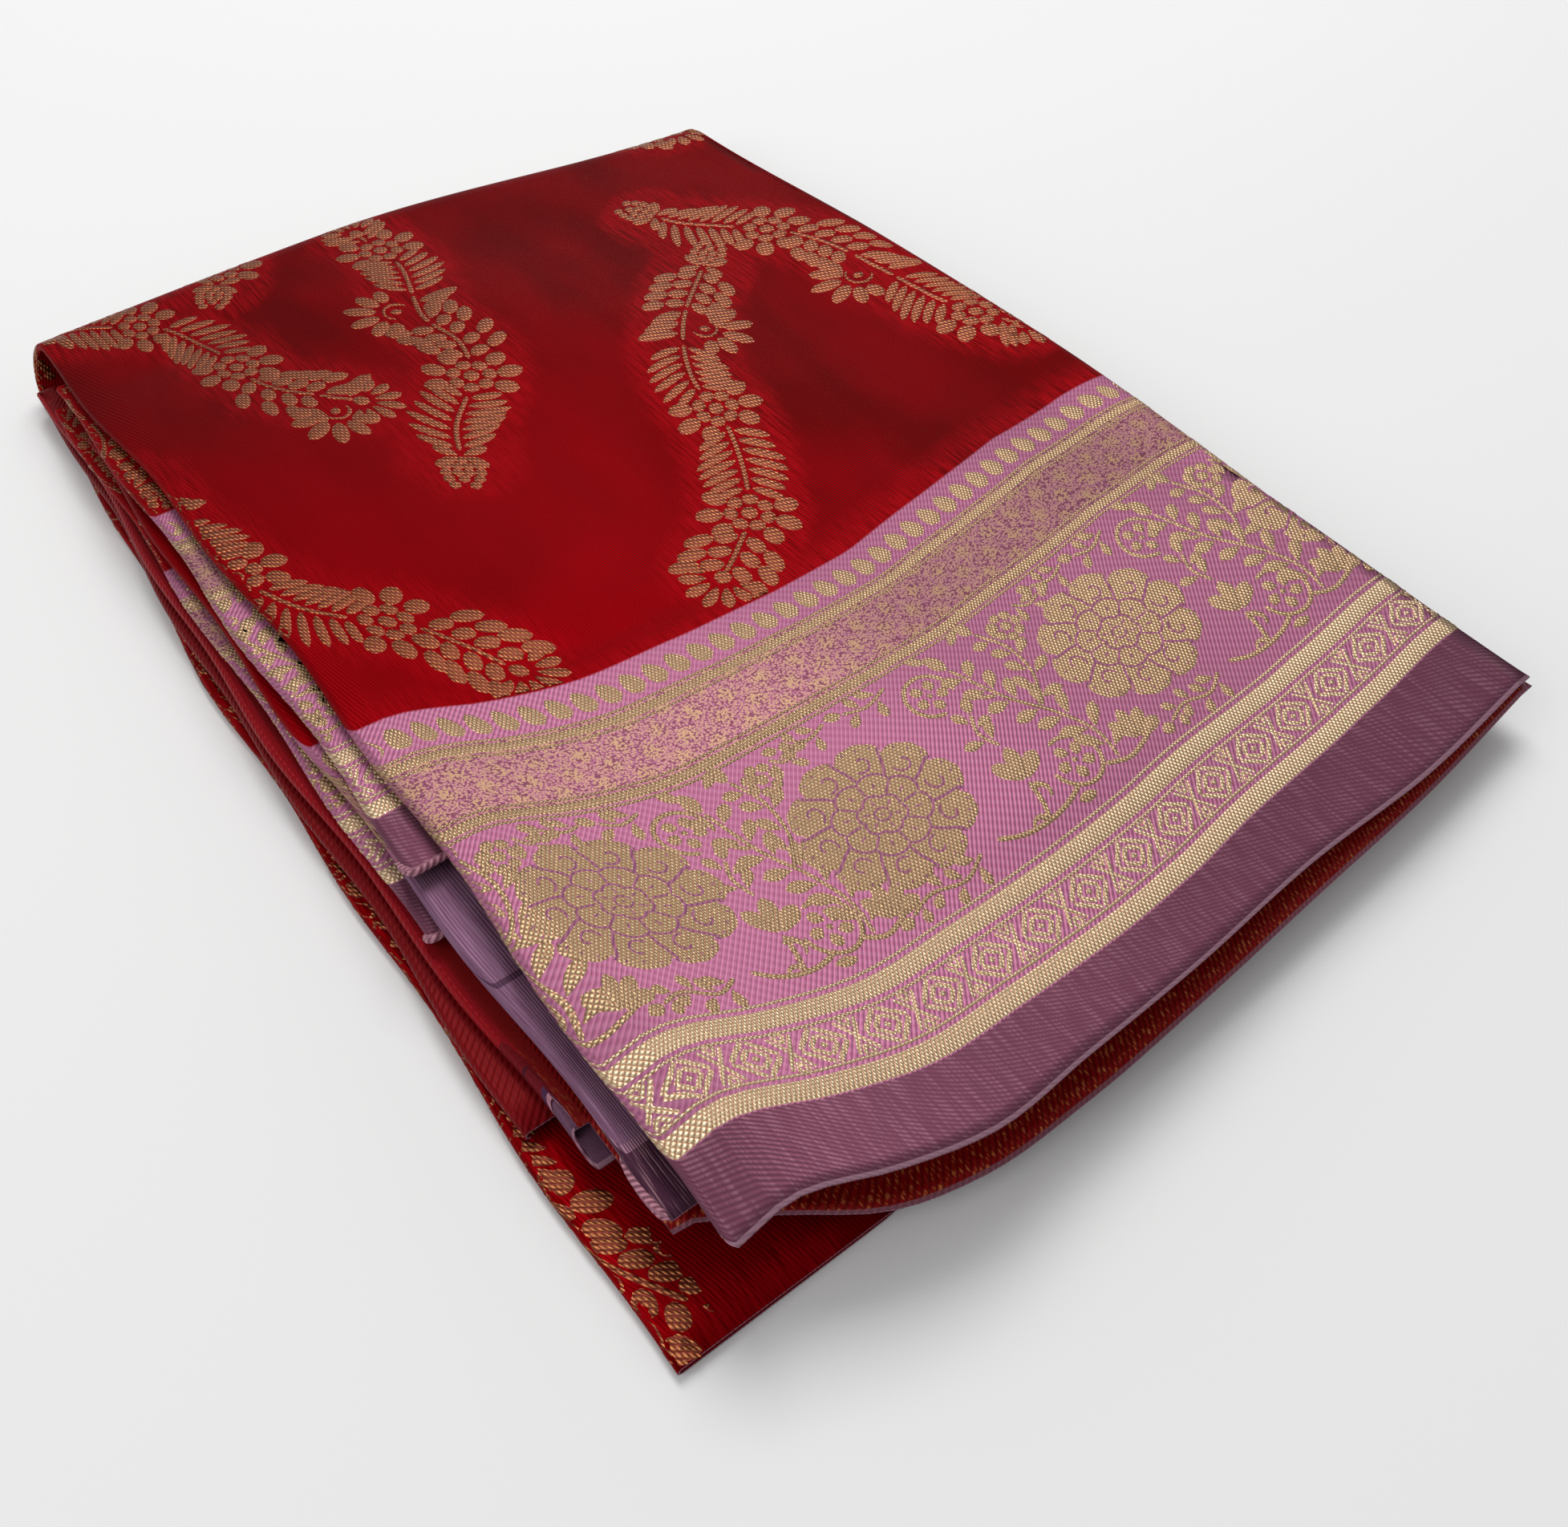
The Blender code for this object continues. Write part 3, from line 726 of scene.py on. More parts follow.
def striped_end(material, from_edge, ribs):
    """The bands of colour of the striped end, over its fine ribs."""
    depth = add(material, "Math", {"operation": "DIVIDE"}, {0: from_edge, 1: STRIPED_END_DEPTH})
    bands = add(material, "ValToRGB", {}, {"Fac": depth})
    ramp = bands.node.color_ramp
    ramp.interpolation = "CONSTANT"
    for index, band in enumerate(STRIPED_END_BANDS):
        start = band.start / STRIPED_END_DEPTH
        stop = ramp.elements[index] if index < 2 else ramp.elements.new(start)
        stop.position = start
        stop.color = linear(band.colour)
    return dyed(material, bands, ("#4a0410", ribs, 0.3))


colour = dyed(silk, body, (plain_end, where["plain_end"]),
              (striped_end(silk, from_edge, fine_ribs), where["striped_end"]))
selvedge_relief = add(silk, "Math", {"operation": "MULTIPLY"}, {0: selvedge_rows, 1: 0.5})
relief = dyed(silk, selvedge_relief, (twill, where["past_selvedge"]), (gold_grain, *in_speckle),
              (warp, where["past_border"]), (fine_ribs, where["plain_end"]))
bump = add(silk, "Bump", {}, {"Height": relief, "Strength": 0.35, "Distance": 0.0002})
join(silk.node_tree.nodes["Principled BSDF"], {
    "Base Color": colour, "Normal": bump, "Metallic": 0.38, "Roughness": 0.46, "Specular IOR Level": 0.0})
cloth.data.materials.append(silk)


# The reverse of the silk, which shows on the lip under the top sheet: dark red weft in slanting lines, with
# the gold threads that float behind the border glinting through, and satin red past the border.
reverse, weave = woven("silk_reverse_side")
from_edge = add(reverse, "SeparateXYZ", {}, {"Vector": weave}, "Y")
zone = add(reverse, "Attribute", {"attribute_name": "zone"}, {}, "Fac")
lines = stripes(reverse, weave, 0.85, 0.60, 0.0011)
ribs = stripes(reverse, weave, 1.0, 0.03, RIB_LINES)
glints = uneven(reverse, weave, (1.9, 0.55), 4.0)
where = rising(reverse, {
    "gilded": (glints, 0.52, 0.66),
    "near_edge": (from_edge, 0.042, 0.018),
    "past_cord": (from_edge, SELVEDGE_CORD - 0.0001, SELVEDGE_CORD + 0.0001),
    "past_border": (from_edge, 0.126, 0.134),
    "striped_end": (zone, 1.48, 1.52),
})
weft = dyed(reverse, "#6c0305", ("#a40a0c", lines, 0.5),
            ("#c87a44", where["gilded"], lines, where["near_edge"], 0.9))
satin = dyed(reverse, "#740208", ("#4c0004", ribs, 0.3))
colour = dyed(reverse, "#84505c", (weft, where["past_cord"]), (satin, where["past_border"]),
              (striped_end(reverse, from_edge, ribs), where["striped_end"]))
bump = add(reverse, "Bump", {}, {"Height": lines, "Strength": 0.4, "Distance": 0.0003})
join(reverse.node_tree.nodes["Principled BSDF"], {
    "Base Color": colour, "Normal": bump, "Metallic": 0.30, "Roughness": 0.48, "Specular IOR Level": 0.12})
cloth.data.materials.append(reverse)

# The sheet's cut and selvedge edge, where the threads turn back: pale mauve silk.
edging, weave = woven("silk_selvedge_edge")
colour = dyed(edging, "#683c4c", ("#8e6072", stripes(edging, weave, 1.0, 0.0, SELVEDGE_LINES)))
join(edging.node_tree.nodes["Principled BSDF"], {
    "Base Color": colour, "Roughness": 0.6, "Specular IOR Level": 0.2})
cloth.data.materials.append(edging)

thickness = cloth.modifiers.new("thickness", "SOLIDIFY")
thickness.thickness = CLOTH_THICKNESS
thickness.offset = 0.0
thickness.material_offset = 1
thickness.material_offset_rim = 2
with bpy.context.temp_override(object=cloth, active_object=cloth, selected_objects=[cloth]):
    bpy.ops.object.modifier_apply(modifier=thickness.name)
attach(cloth, "root")
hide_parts("sari_cloth")


# GOLD VINES. Stems, leaves, buds and flowers of gilt thread, woven into the satin as short floats. Each one
# stands about a tenth of a millimetre proud of the silk, with the silk showing between them.
EDGE_LIFT = -0.00003
GOLD_LIFT = 0.00011
PLACES_AT_ONCE = 4000
COLUMN_SLACK = 0.01
ROW_SLACK = 0.05
BORDER_CLEARANCE = 0.0006
over_column = np.gradient(GRID, axis=0)
over_row = np.gradient(GRID, axis=1)
NORMALS = np.cross(over_column, over_row)
length = np.linalg.norm(NORMALS, axis=2, keepdims=True)
NORMALS = NORMALS / np.where(length > 0, length, 1.0)
SIDE = 1.0 if np.nanmean(NORMALS[TOP_FIRST:TOP_LAST, 10:90, 2]) > 0 else -1.0
valid = ~np.isnan(GRID[:, :, 0])
row_numbers = np.broadcast_to(np.arange(GRID.shape[1]), valid.shape)
first_row = valid.argmax(axis=1)[:, None]
ROW_V = np.where(valid, WEAVE_V, np.where(row_numbers < first_row, -9.0, 9.0))


def cell(levels, value):
    """Which step of each column of levels a value falls in, and how far along the step it is."""
    index = np.clip((levels <= value).sum(axis=0) - 1, 0, len(levels) - 2)
    every = np.arange(len(value))
    low, high = levels[index, every], levels[index + 1, every]
    return index, (value - low) / np.where(high > low, high - low, 1.0)


def on_cloth(places):
    """Points on the cloth's right side, from rows of weave_u, weave_v and lift."""
    found = np.full((len(places), 3), np.nan)
    for start in range(0, len(places), PLACES_AT_ONCE):
        u, v, lift = places[start:start + PLACES_AT_ONCE].T
        column, f = cell(np.repeat(WEAVE_U[:, None], len(u), axis=1), u)
        for _ in range(3):
            row, g = cell((ROW_V[column] * (1 - f)[:, None] + ROW_V[column + 1] * f[:, None]).T, v)
            column, f = cell(OVER_U[:, row] * (1 - g) + OVER_U[:, row + 1] * g, u)
        outside = (f < -COLUMN_SLACK) | (f > 1 + COLUMN_SLACK) | (g < -ROW_SLACK) | (g > 1 + ROW_SLACK)
        point, normal = 0.0, 0.0
        for across_by, across_share in ((0, 1 - f), (1, f)):
            for along_by, along_share in ((0, 1 - g), (1, g)):
                share = (across_share * along_share)[:, None]
                point = point + GRID[column + across_by, row + along_by] * share
                normal = normal + NORMALS[column + across_by, row + along_by] * share
        raised = point + SIDE * normal * (lift + CLOTH_THICKNESS / 2)[:, None]
        found[start:start + PLACES_AT_ONCE] = np.where(outside[:, None], np.nan, raised)
    return found


def circle(turns):
    """The points of a circle of radius 1 at these angles."""
    return np.stack([np.cos(turns), np.sin(turns)], axis=1)


def quads_of(points):
    """A grid of points as rows, and the faces between them."""
    n, m = points.shape[:2]
    index = np.arange(n * m).reshape(n, m)
    quads = np.stack([index[:-1, :-1], index[1:, :-1], index[1:, 1:], index[:-1, 1:]], axis=-1)
    return points.reshape(-1, 3), quads.reshape(-1, 4)


FLAT_TOPPED = ((-1.0, EDGE_LIFT), (-0.7, GOLD_LIFT), (0.7, GOLD_LIFT), (1.0, EDGE_LIFT))


def strip(line, half_widths, profile=FLAT_TOPPED):
    """A woven shape along a line of places: its points, as weave_u, weave_v and lift, and its faces."""
    along_line = np.gradient(line, axis=0)
    along_line /= np.linalg.norm(along_line, axis=1)[:, None]
    across_line = np.stack([-along_line[:, 1], along_line[:, 0]], axis=1)
    rows = []
    for share, lift in profile:
        sideways = line + across_line * (half_widths * share)[:, None]
        rows.append(np.column_stack([sideways, np.full(len(line), lift)]))
    points = np.stack(rows, axis=1)
    points[[0, -1], :, 2] = EDGE_LIFT
    return quads_of(points)


def leaf(root, heading, length, width, bend=0.0, widest=0.45, steps=7, full=0.75):
    """A leaf or petal from its root. A small widest puts its broadest part near the root."""
    t = np.linspace(0.0, 1.0, steps)
    turning = heading + bend * t
    step = length / (steps - 1)
    line = np.array(root) + np.vstack([[0.0, 0.0], np.cumsum(circle(turning[:-1]) * step, axis=0)])
    shape = np.maximum(np.sin(math.pi * t ** (math.log(0.5) / math.log(widest))), 0.0) ** full
    return strip(line, np.maximum(width / 2 * shape, 0.00004))


# A face that spans more than this joins two folds across the air between them, and is left out.
LONGEST_FLOAT = 0.0055


class Brocade:
    """Woven shapes gathered into one joined piece."""

    def __init__(self):
        self.points, self.faces, self.count = [], [], 0

    def put(self, shape):
        points, quads = shape
        self.points.append(points)
        self.faces.append(quads + self.count)
        self.count += len(points)

    def piece(self, name, material, body_only=False):
        places = np.vstack(self.points)
        if body_only:
            places[:, 1] = np.maximum(places[:, 1], BORDER_WIDTH + BORDER_CLEARANCE)
        quads = np.vstack(self.faces)
        solid = on_cloth(places)
        quads = quads[~np.isnan(solid[quads]).any(axis=(1, 2))]
        reach = np.linalg.norm(solid[quads] - solid[np.roll(quads, 1, axis=1)], axis=2).max(axis=1)
        quads = quads[reach < LONGEST_FLOAT]
        kept = np.zeros(len(solid), dtype=bool)
        kept[quads.ravel()] = True
        renumbered = (np.cumsum(kept) - 1)[quads]
        if SIDE < 0:
            renumbered = renumbered[:, ::-1]
        made = woven_mesh(name, solid[kept], renumbered, places[kept][:, :2])
        made.data.materials.append(material)
        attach(made, "root")


# Gilt thread: a silk core wound with fine metal, laid in short floats, so it glints in dots and in lines.
def gilt_thread(name, bright, dark, lines, dashes, crispness=0.6):
    """A gold of floats where two sets of stripes cross, each given by its slants and its pitch.

    Real floats are a few tenths of a millimetre long, so they are drawn coarser too.
    """
    material, weave = woven(name)
    lines, dashes = stripes(material, weave, *lines), stripes(material, weave, *dashes)
    floats = add(material, "Math", {"operation": "MULTIPLY"}, {0: lines, 1: dashes})
    floats = add(material, "Math", {"operation": "POWER"}, {0: floats, 1: crispness})
    # Painted glints: the floats are painted brighter or duller at random, as if each caught the light
    # differently.
    noise = uneven(material, weave, (1.6, 1.6), 2.0)
    steps = {"Value": noise, "From Min": 0.3, "From Max": 0.7, "To Min": 0.55}
    painted_glitter = add(material, "MapRange", {}, steps)
    floats = add(material, "Math", {"operation": "MULTIPLY"}, {0: floats, 1: painted_glitter})
    bump = add(material, "Bump", {}, {"Height": floats, "Strength": 0.6, "Distance": 0.0003})
    join(material.node_tree.nodes["Principled BSDF"], {
        "Base Color": dyed(material, dark, (bright, floats)), "Normal": bump, "Metallic": 0.72,
        "Roughness": 0.40})
    return material


GOLD_LINES = (0.85, 0.55, 0.00080)
GOLD_DASHES = (0.85, -0.55, 0.00080)
vine_gold = gilt_thread("gilt_thread_in_satin", "#e09258", "#5c1206", (0.97, 0.23, WARP_LINES),
                        (0.5, 1.0, 0.0014), crispness=0.85)
band_gold = gilt_thread("gilt_thread_in_bands", "#ffeec4", "#a27a5e", GOLD_LINES, GOLD_DASHES)
border_gold = gilt_thread("gilt_thread_in_brocade", "#ead0a0", "#886048", GOLD_LINES, GOLD_DASHES)
chance = np.random.default_rng(12)


def beside(place, heading, forward, outward_by):
    """A place beside a stem: so far along its heading, and so far to its left."""
    along_it = np.array([math.cos(heading), math.sin(heading)])
    left = np.array([-along_it[1], along_it[0]])
    return np.array(place) + along_it * forward + left * outward_by


def petal(gold, place, heading, forward, aside, lean, length, width, **shape):
    """Adds a leaf that leans from a heading, with its root so far along it and so far to its left."""
    gold.put(leaf(beside(place, heading, forward, aside), heading + lean, length, width, **shape))


def thread(gold, line, half_width, tip):
    """Adds a line of one width, with thin ends."""
    half = np.full(len(line), half_width)
    half[[0, -1]] = tip
    gold.put(strip(line, half))


def round_flower(gold, centre, radius, turn):
    """A hub with a ring of round petals, close together."""
    width = 0.70 * radius
    petal(gold, centre, turn, -0.34 * radius, 0.0, 0.0, 0.72 * radius, width, widest=0.5, full=0.5)
    for k in range(7):
        angle = turn + math.tau * (k + 0.5) / 7
        petal(gold, centre, angle, 0.42 * radius, 0.0, 0.0, 0.64 * radius, width, widest=0.55, full=0.42)


BLOOM_PETALS = ((-1.25, 0.40), (-0.75, 0.50), (-0.25, 0.58), (0.28, 0.56), (0.80, 0.48), (1.30, 0.38))


def side_bloom(gold, place, heading, side, size):
    """A half-open flower at the stem's side: a curled hub, with long petals fanned out from it."""
    outwards = heading + side * math.pi / 2
    hub = beside(place, outwards, 0.34 * size, 0.0)
    turns = np.linspace(outwards - side * 2.6, outwards + side * 1.3, 14)
    curl = hub + circle(turns) * 0.21 * size
    half = np.interp(np.arange(14), (0, 3, 13), (0.0002, 0.00058, 0.0003))
    gold.put(strip(curl, half))
    petal(gold, hub, outwards, -0.09 * size, 0.0, 0.0, 0.2 * size, 0.16 * size, widest=0.5)
    for lean, reach in BLOOM_PETALS:
        petal(gold, hub, outwards + lean, 0.30 * size, 0.0, 0.0, reach * size, 0.27 * size, bend=0.4 * lean,
              widest=0.5, full=0.5)


def cone(gold, place, heading, length, width):
    """A seed head of small scales in rows, round at its foot and pointed at its tip."""
    rows = 5
    for k in range(rows):
        share = (k + 0.5) / rows
        spread = width / 2 * math.sin(math.pi * (0.18 + 0.72 * share)) ** 0.8
        count = max(1, round(2 * spread / 0.0025))
        for m in range(count):
            offset = 0.0 if count == 1 else spread * (2 * m / (count - 1) - 1) * 0.82
            petal(gold, place, heading, share * length - 0.0012, offset, offset * 40, 0.0032, 0.0030,
                  widest=0.5, steps=6, full=0.45)


def fan(gold, place, heading, spread, count, length, width, root=0.0006):
    """Leaves spread out from one place."""
    for k in range(count):
        lean = spread * (2 * k / (count - 1) - 1)
        petal(gold, place, heading + lean, root, 0.0, 0.0, length * (1.0 - 0.18 * abs(lean)), width,
              bend=0.4 * lean, widest=0.6, full=0.55)


def hook(gold, place, heading, side, radius, width):
    """A tendril that curls back on itself."""
    turns = heading - side * math.pi / 2 + side * np.linspace(0.0, 3.4, 16)
    middle = beside(place, heading, 0.0, side * radius)
    line = middle + circle(turns) * (radius * np.linspace(1.0, 0.7, 16))[:, None]
    gold.put(strip(line, np.interp(np.arange(16), (0, 10, 15), (0.0003, width / 2, 0.0002))))


LEAFLET_SPACING = 0.0031
LEAFLET_WIDTH = 0.0028
SCALE_SPACING = 0.0047
VINE_HALF = 0.0128
Stretch = namedtuple("Stretch", "kind length")
VINE_ORDER = (
    Stretch("leaflets", 0.0235),
    Stretch("cluster", 0.0130),
    Stretch("scales", 0.0200),
    Stretch("bloom", 0.0150),
    Stretch("leaflets", 0.0190),
    Stretch("cluster", 0.0130),
)


def fern(gold, stem, rng, first_kind, side):
    """A vine as woven: leaflets in pairs, flower heads, side blooms and broad leaves, one after another."""
    travel = travelled(stem)
    total = travel[-1]
    headings = np.unwrap(np.arctan2(np.gradient(stem[:, 1]), np.gradient(stem[:, 0])))

    def at(distance):
        place = np.array([np.interp(distance, travel, stem[:, 0]), np.interp(distance, travel, stem[:, 1])])
        return place, float(np.interp(distance, travel, headings))

    place, heading = at(0.0)
    cone(gold, beside(place, heading + math.pi, -0.001, 0.0), heading + math.pi, 0.0120, 0.0095)
    for way in (1, -1):
        fan(gold, beside(place, heading, 0.001, 0.0), heading + way * math.pi / 2, 0.5, 2, 0.0078, 0.0034)
    distance = 0.003
    k = first_kind
    while distance < total - 0.004:
        stretch = VINE_ORDER[k % len(VINE_ORDER)]
        end = min(distance + stretch.length, total)
        inside = (travel > distance - 0.0005) & (travel < end - 0.0005)
        if inside.sum() > 3 and stretch.kind != "cluster":
            thread(gold, stem[inside], 0.00068, 0.0002)
        if stretch.kind == "leaflets":
            count = max(2, int((end - distance) / LEAFLET_SPACING))
            for m in range(count):
                share = (m + 0.5) / count
                place, heading = at(distance + share * (end - distance))
                reach = VINE_HALF * (0.70 + 0.30 * math.sin(math.pi * min(1.0, share * 1.1)))
                reach *= rng.uniform(0.94, 1.05)
                for way in (-1, 1):
                    petal(gold, place, heading, 0.0, way * 0.00095, way * 1.15, reach, LEAFLET_WIDTH,
                          bend=-way * 0.22, widest=0.5, full=0.4)
        elif stretch.kind == "scales":
            count = max(2, int((end - distance) / SCALE_SPACING))
            for m in range(count):
                place, heading = at(distance + (m + 0.3) / count * (end - distance))
                for way in (-1, 1):
                    length = rng.uniform(0.95, 1.05)
                    petal(gold, place, heading, 0.0, way * 0.0010, way * 1.0, 0.0062 * length, 0.0042,
                          bend=-way * 0.2, widest=0.55, full=0.36)
                    petal(gold, place, heading, 0.0026, way * 0.0062, way * 0.85, 0.0080 * length, 0.0044,
                          bend=-way * 0.3, widest=0.5, full=0.42)
        elif stretch.kind == "cluster":
            place, heading = at((distance + end) / 2)
            round_flower(gold, place, 0.0062, heading)
            for way in (-1, 1):
                for lean, reach in ((0.72, 0.0066), (1.36, 0.0074), (2.00, 0.0068)):
                    petal(gold, place, heading + way * lean, 0.0061, 0.0, 0.0, reach, 0.0052, bend=-way * 0.4,
                          widest=0.5, full=0.5)
        else:
            place, heading = at((distance + end) / 2)
            side_bloom(gold, place, heading, side, 0.0168)
            for m, lean in enumerate((0.75, 1.05, 1.4)):
                place, heading = at(distance + (m + 0.2) / 3 * (end - distance))
                petal(gold, place, heading, 0.0, -side * 0.0010, -side * lean, 0.0124, 0.0047,
                      bend=side * 0.4, widest=0.5, full=0.5)
            side = -side
        distance = end + 0.0004
        k += 1
    place, heading = at(total)
    fan(gold, place, heading, 1.35, 7, 0.0082, 0.0034, root=0.0040)
    petal(gold, place, heading, -0.0016, 0.0, 0.0, 0.0046, 0.0042, widest=0.5, full=0.5)


vines = Brocade()
for index, vine in enumerate(VINES):
    fern(vines, STEMS[vine.name], chance, (2 * index + (index > 3)) % 6, 1 if index % 2 else -1)
vines.piece("gold_vines", vine_gold, body_only=True)


# GOLD BANDS. The border's straight lines of gilt thread, a broad pair by the selvedge with a lattice between
# them, and a narrow pair, with the speckle of the pink ground between them.
Line = namedtuple("Line", "middle width")
BAND_LINES = (
    Line(0.0178, 0.0044),
    Line(0.0210, 0.0007),
    Line(0.0302, 0.0007),
    Line(0.0334, 0.0043),
    Line(0.0366, 0.0007),
    Line(0.0899, 0.0007),
    Line(0.0921, 0.0026),
    Line(0.0943, 0.0006),
    Line(0.1093, 0.0006),
    Line(0.1115, 0.0026),
    Line(0.1137, 0.0007),
)

# Where the border shows, along the length: the top sheet, two stacked folds, and the plain end's fold, whose
# border starts past the plain part.
SHOWN_RUNS = ((-0.006, 0.242), (-0.200, -0.166), (-0.530, -0.494), (-0.362, -0.314))
PLAIN_RUN = SHOWN_RUNS[3]
BAND_STEP = 0.003
BROAD_BANDS_END = 0.05
bands, narrow_bands = Brocade(), Brocade()
for first, last in SHOWN_RUNS:
    run = np.union1d(WEAVE_U[(WEAVE_U > first) & (WEAVE_U < last)], np.arange(first, last, BAND_STEP))
    for line in BAND_LINES:
        if (first, last) == PLAIN_RUN and line.middle < PLAIN_END_DEPTH + 0.001:
            continue
        places = np.stack([run, np.full(len(run), line.middle)], axis=1)
        gold = bands if line.middle < BROAD_BANDS_END else narrow_bands
        gold.put(strip(places, np.full(len(run), line.width / 2)))
bands.piece("gold_bands", band_gold)
narrow_bands.piece("gold_narrow_bands", border_gold)


# LATTICE. Squares on their points, one in another, with crosses between, woven in gilt thread between the two
# broad bands.
LATTICE_MIDDLE = 0.0256
LATTICE_HALF = 0.0043
LATTICE_PITCH = 0.0135
RIDGED = ((-1.0, EDGE_LIFT), (-0.5, GOLD_LIFT), (0.5, GOLD_LIFT), (1.0, EDGE_LIFT))
lattice = Brocade()


def straight(start, end, width):
    t = np.linspace(0.0, 1.0, 5)[:, None]
    line = np.array(start) * (1 - t) + np.array(end) * t
    return strip(line, np.full(5, width / 2), RIDGED)


for first, last in SHOWN_RUNS[:3]:
    for k in range(math.ceil(first / LATTICE_PITCH), int(last / LATTICE_PITCH) + 1):
        centre = np.array([k * LATTICE_PITCH, LATTICE_MIDDLE])
        for size in (0.0042, 0.0024):
            stretch = np.array([size * 1.18, size])
            points = [centre + stretch * np.array(p) for p in ((1, 0), (0, 1), (-1, 0), (0, -1))]
            for a, b in zip(points, points[1:] + points[:1]):
                lattice.put(straight(a, b, 0.00120))
        lattice.put(leaf(centre - np.array([0.0008, 0.0]), 0.0, 0.0016, 0.0014, widest=0.5))
        middle = centre + np.array([LATTICE_PITCH / 2, 0.0])
        for rise in (-1, 1):
            reach = np.array([0.0026, rise * LATTICE_HALF])
            lattice.put(straight(middle - reach * 0.98, middle + reach * 0.98, 0.00098))
            for offset, arm in ((0.0020, 0.0022), (0.0038, 0.0012)):
                peak = middle + np.array([0.0, rise * offset])
                for lean in (-1, 1):
                    lattice.put(straight(peak, peak + np.array([lean * arm * 0.55, rise * arm]), 0.00092))
lattice.piece("gold_lattice", band_gold)


# DROPS. One row of gold drops along the inner edge of the border, woven in gilt thread, each with its point
# towards the body.
DROP_PITCH = 0.0060
DROP_FOOT = 0.1154
drops = Brocade()
for first, last in SHOWN_RUNS:
    for k in range(math.ceil(first / DROP_PITCH), int(last / DROP_PITCH) + 1):
        drops.put(leaf((k * DROP_PITCH, DROP_FOOT), math.pi / 2 + 0.30, 0.0072, 0.0050, widest=0.38, full=0.6))
drops.piece("gold_drops", border_gold)


# BORDER FLOWERS. Large round flowers along the pink field, with scrolling stems, ringed flowers and leaf
# sprays between them, all of gilt thread. Rose threads pass over the gold to draw the petals' edges.
Rosette = namedtuple("Rosette", "u v")
ROSETTES = (
    Rosette(0.0277, 0.0655),
    Rosette(0.0861, 0.0618),
    Rosette(0.1631, 0.0645),
)
HALF_U = 0.0208
HALF_V = 0.0178
OUTER_PETALS = 10
INNER_PETALS = 8
SCALLOP = 0.15
blossoms = Brocade()
outlines = Brocade()
ROSE_EDGE_LIFT = GOLD_LIFT - 0.00003
OVER_GOLD = ((-1.0, ROSE_EDGE_LIFT), (0.0, GOLD_LIFT + 0.00007), (1.0, ROSE_EDGE_LIFT))


def over(line, width):
    """A thin rose line that passes over the gold."""
    points, quads = strip(np.array(line), np.full(len(line), width / 2), OVER_GOLD)
    across_count = len(OVER_GOLD)
    points[:across_count, 2] = ROSE_EDGE_LIFT
    points[-across_count:, 2] = ROSE_EDGE_LIFT
    outlines.put((points, quads))


def big_flower(gold, centre):
    """One round gold shape with a scalloped rim, and the rose lines that part it into rings of petals."""
    turns = np.linspace(0.0, math.tau, 12 * OUTER_PETALS + 1)
    rim = 1.0 - SCALLOP * (1.0 - np.abs(np.cos(OUTER_PETALS / 2 * turns)) ** 0.55)
    rim = rim - 0.012 * (1.0 - np.abs(np.cos(OUTER_PETALS * 1.5 * turns)))
    reach = np.array([HALF_U, HALF_V])
    shares = (0.015, 0.13, 0.26, 0.39, 0.52, 0.65, 0.78, 0.90, 0.975, 1.0)
    rows = []
    for share in shares:
        places = centre + circle(turns) * reach * (rim * share)[:, None]
        rows.append(np.column_stack([places, np.full(len(turns), EDGE_LIFT if share == 1.0 else GOLD_LIFT)]))
    gold.put(quads_of(np.stack(rows, axis=0)))

    def spot(share, angle):
        return centre + np.array([math.cos(angle), math.sin(angle)]) * reach * share

    for k in range(OUTER_PETALS):
        angle = math.tau * k / OUTER_PETALS
        gap = math.tau * (k + 0.5) / OUTER_PETALS
        shares = np.linspace(0.50, 0.90, 10)
        over([spot(share, gap + 0.05 * math.sin(share * 9)) for share in shares], 0.00095)
        for lean in (-0.17, 0.0, 0.17):
            over([spot(share, angle + lean) for share in np.linspace(0.87, 0.93, 3)], 0.00060)
        radii = np.linspace(0.0026, 0.0008, 18)[:, None]
        over(spot(0.715, angle) + circle(angle + np.linspace(2.4, 2.4 + 4.6, 18)) * radii, 0.00072)
    for count, share, dent in ((INNER_PETALS, 0.50, 0.08), (6, 0.24, 0.05)):
        ring = np.linspace(0.0, math.tau, 12 * count + 1)
        wave = share + dent * (np.abs(np.sin(count / 2 * ring)) ** 0.7 - 0.5)
        over(centre + circle(ring) * reach * wave[:, None], 0.00080)
    for k in range(INNER_PETALS):
        angle = math.tau * k / INNER_PETALS
        over([spot(share, angle) for share in np.linspace(0.26, 0.46, 6)], 0.00075)
        over([spot(share, angle + 0.39) for share in np.linspace(0.33, 0.43, 4)], 0.00065)
    over(centre + circle(np.linspace(0.0, math.tau, 17)) * reach * 0.085, 0.00065)
    for k in range(6):
        over([spot(share, math.tau * (k + 0.5) / 6) for share in np.linspace(0.11, 0.22, 4)], 0.00060)


def stem_line(gold, points, width=0.00125):
    line = smooth_line(points, 0.0008)
    thread(gold, line, width / 2, 0.00015)
    return line


def leafy(gold, points, pairs, length, width):
    """A stem with leaves in pairs, smaller towards its tip."""
    line = stem_line(gold, points, 0.0010)
    headings = np.arctan2(np.gradient(line[:, 1]), np.gradient(line[:, 0]))
    for k in range(pairs):
        place = int((k + 0.6) / (pairs + 0.3) * (len(line) - 1))
        for side in (-1, 1):
            petal(gold, line[place], headings[place], 0.0006 * side, side * 0.0007, side * 0.80,
                  length * (1.0 - 0.30 * k / pairs), width, bend=side * 0.35, widest=0.6)
    gold.put(leaf(line[-1], headings[-1], length * 0.85, width * 1.15, widest=0.5))


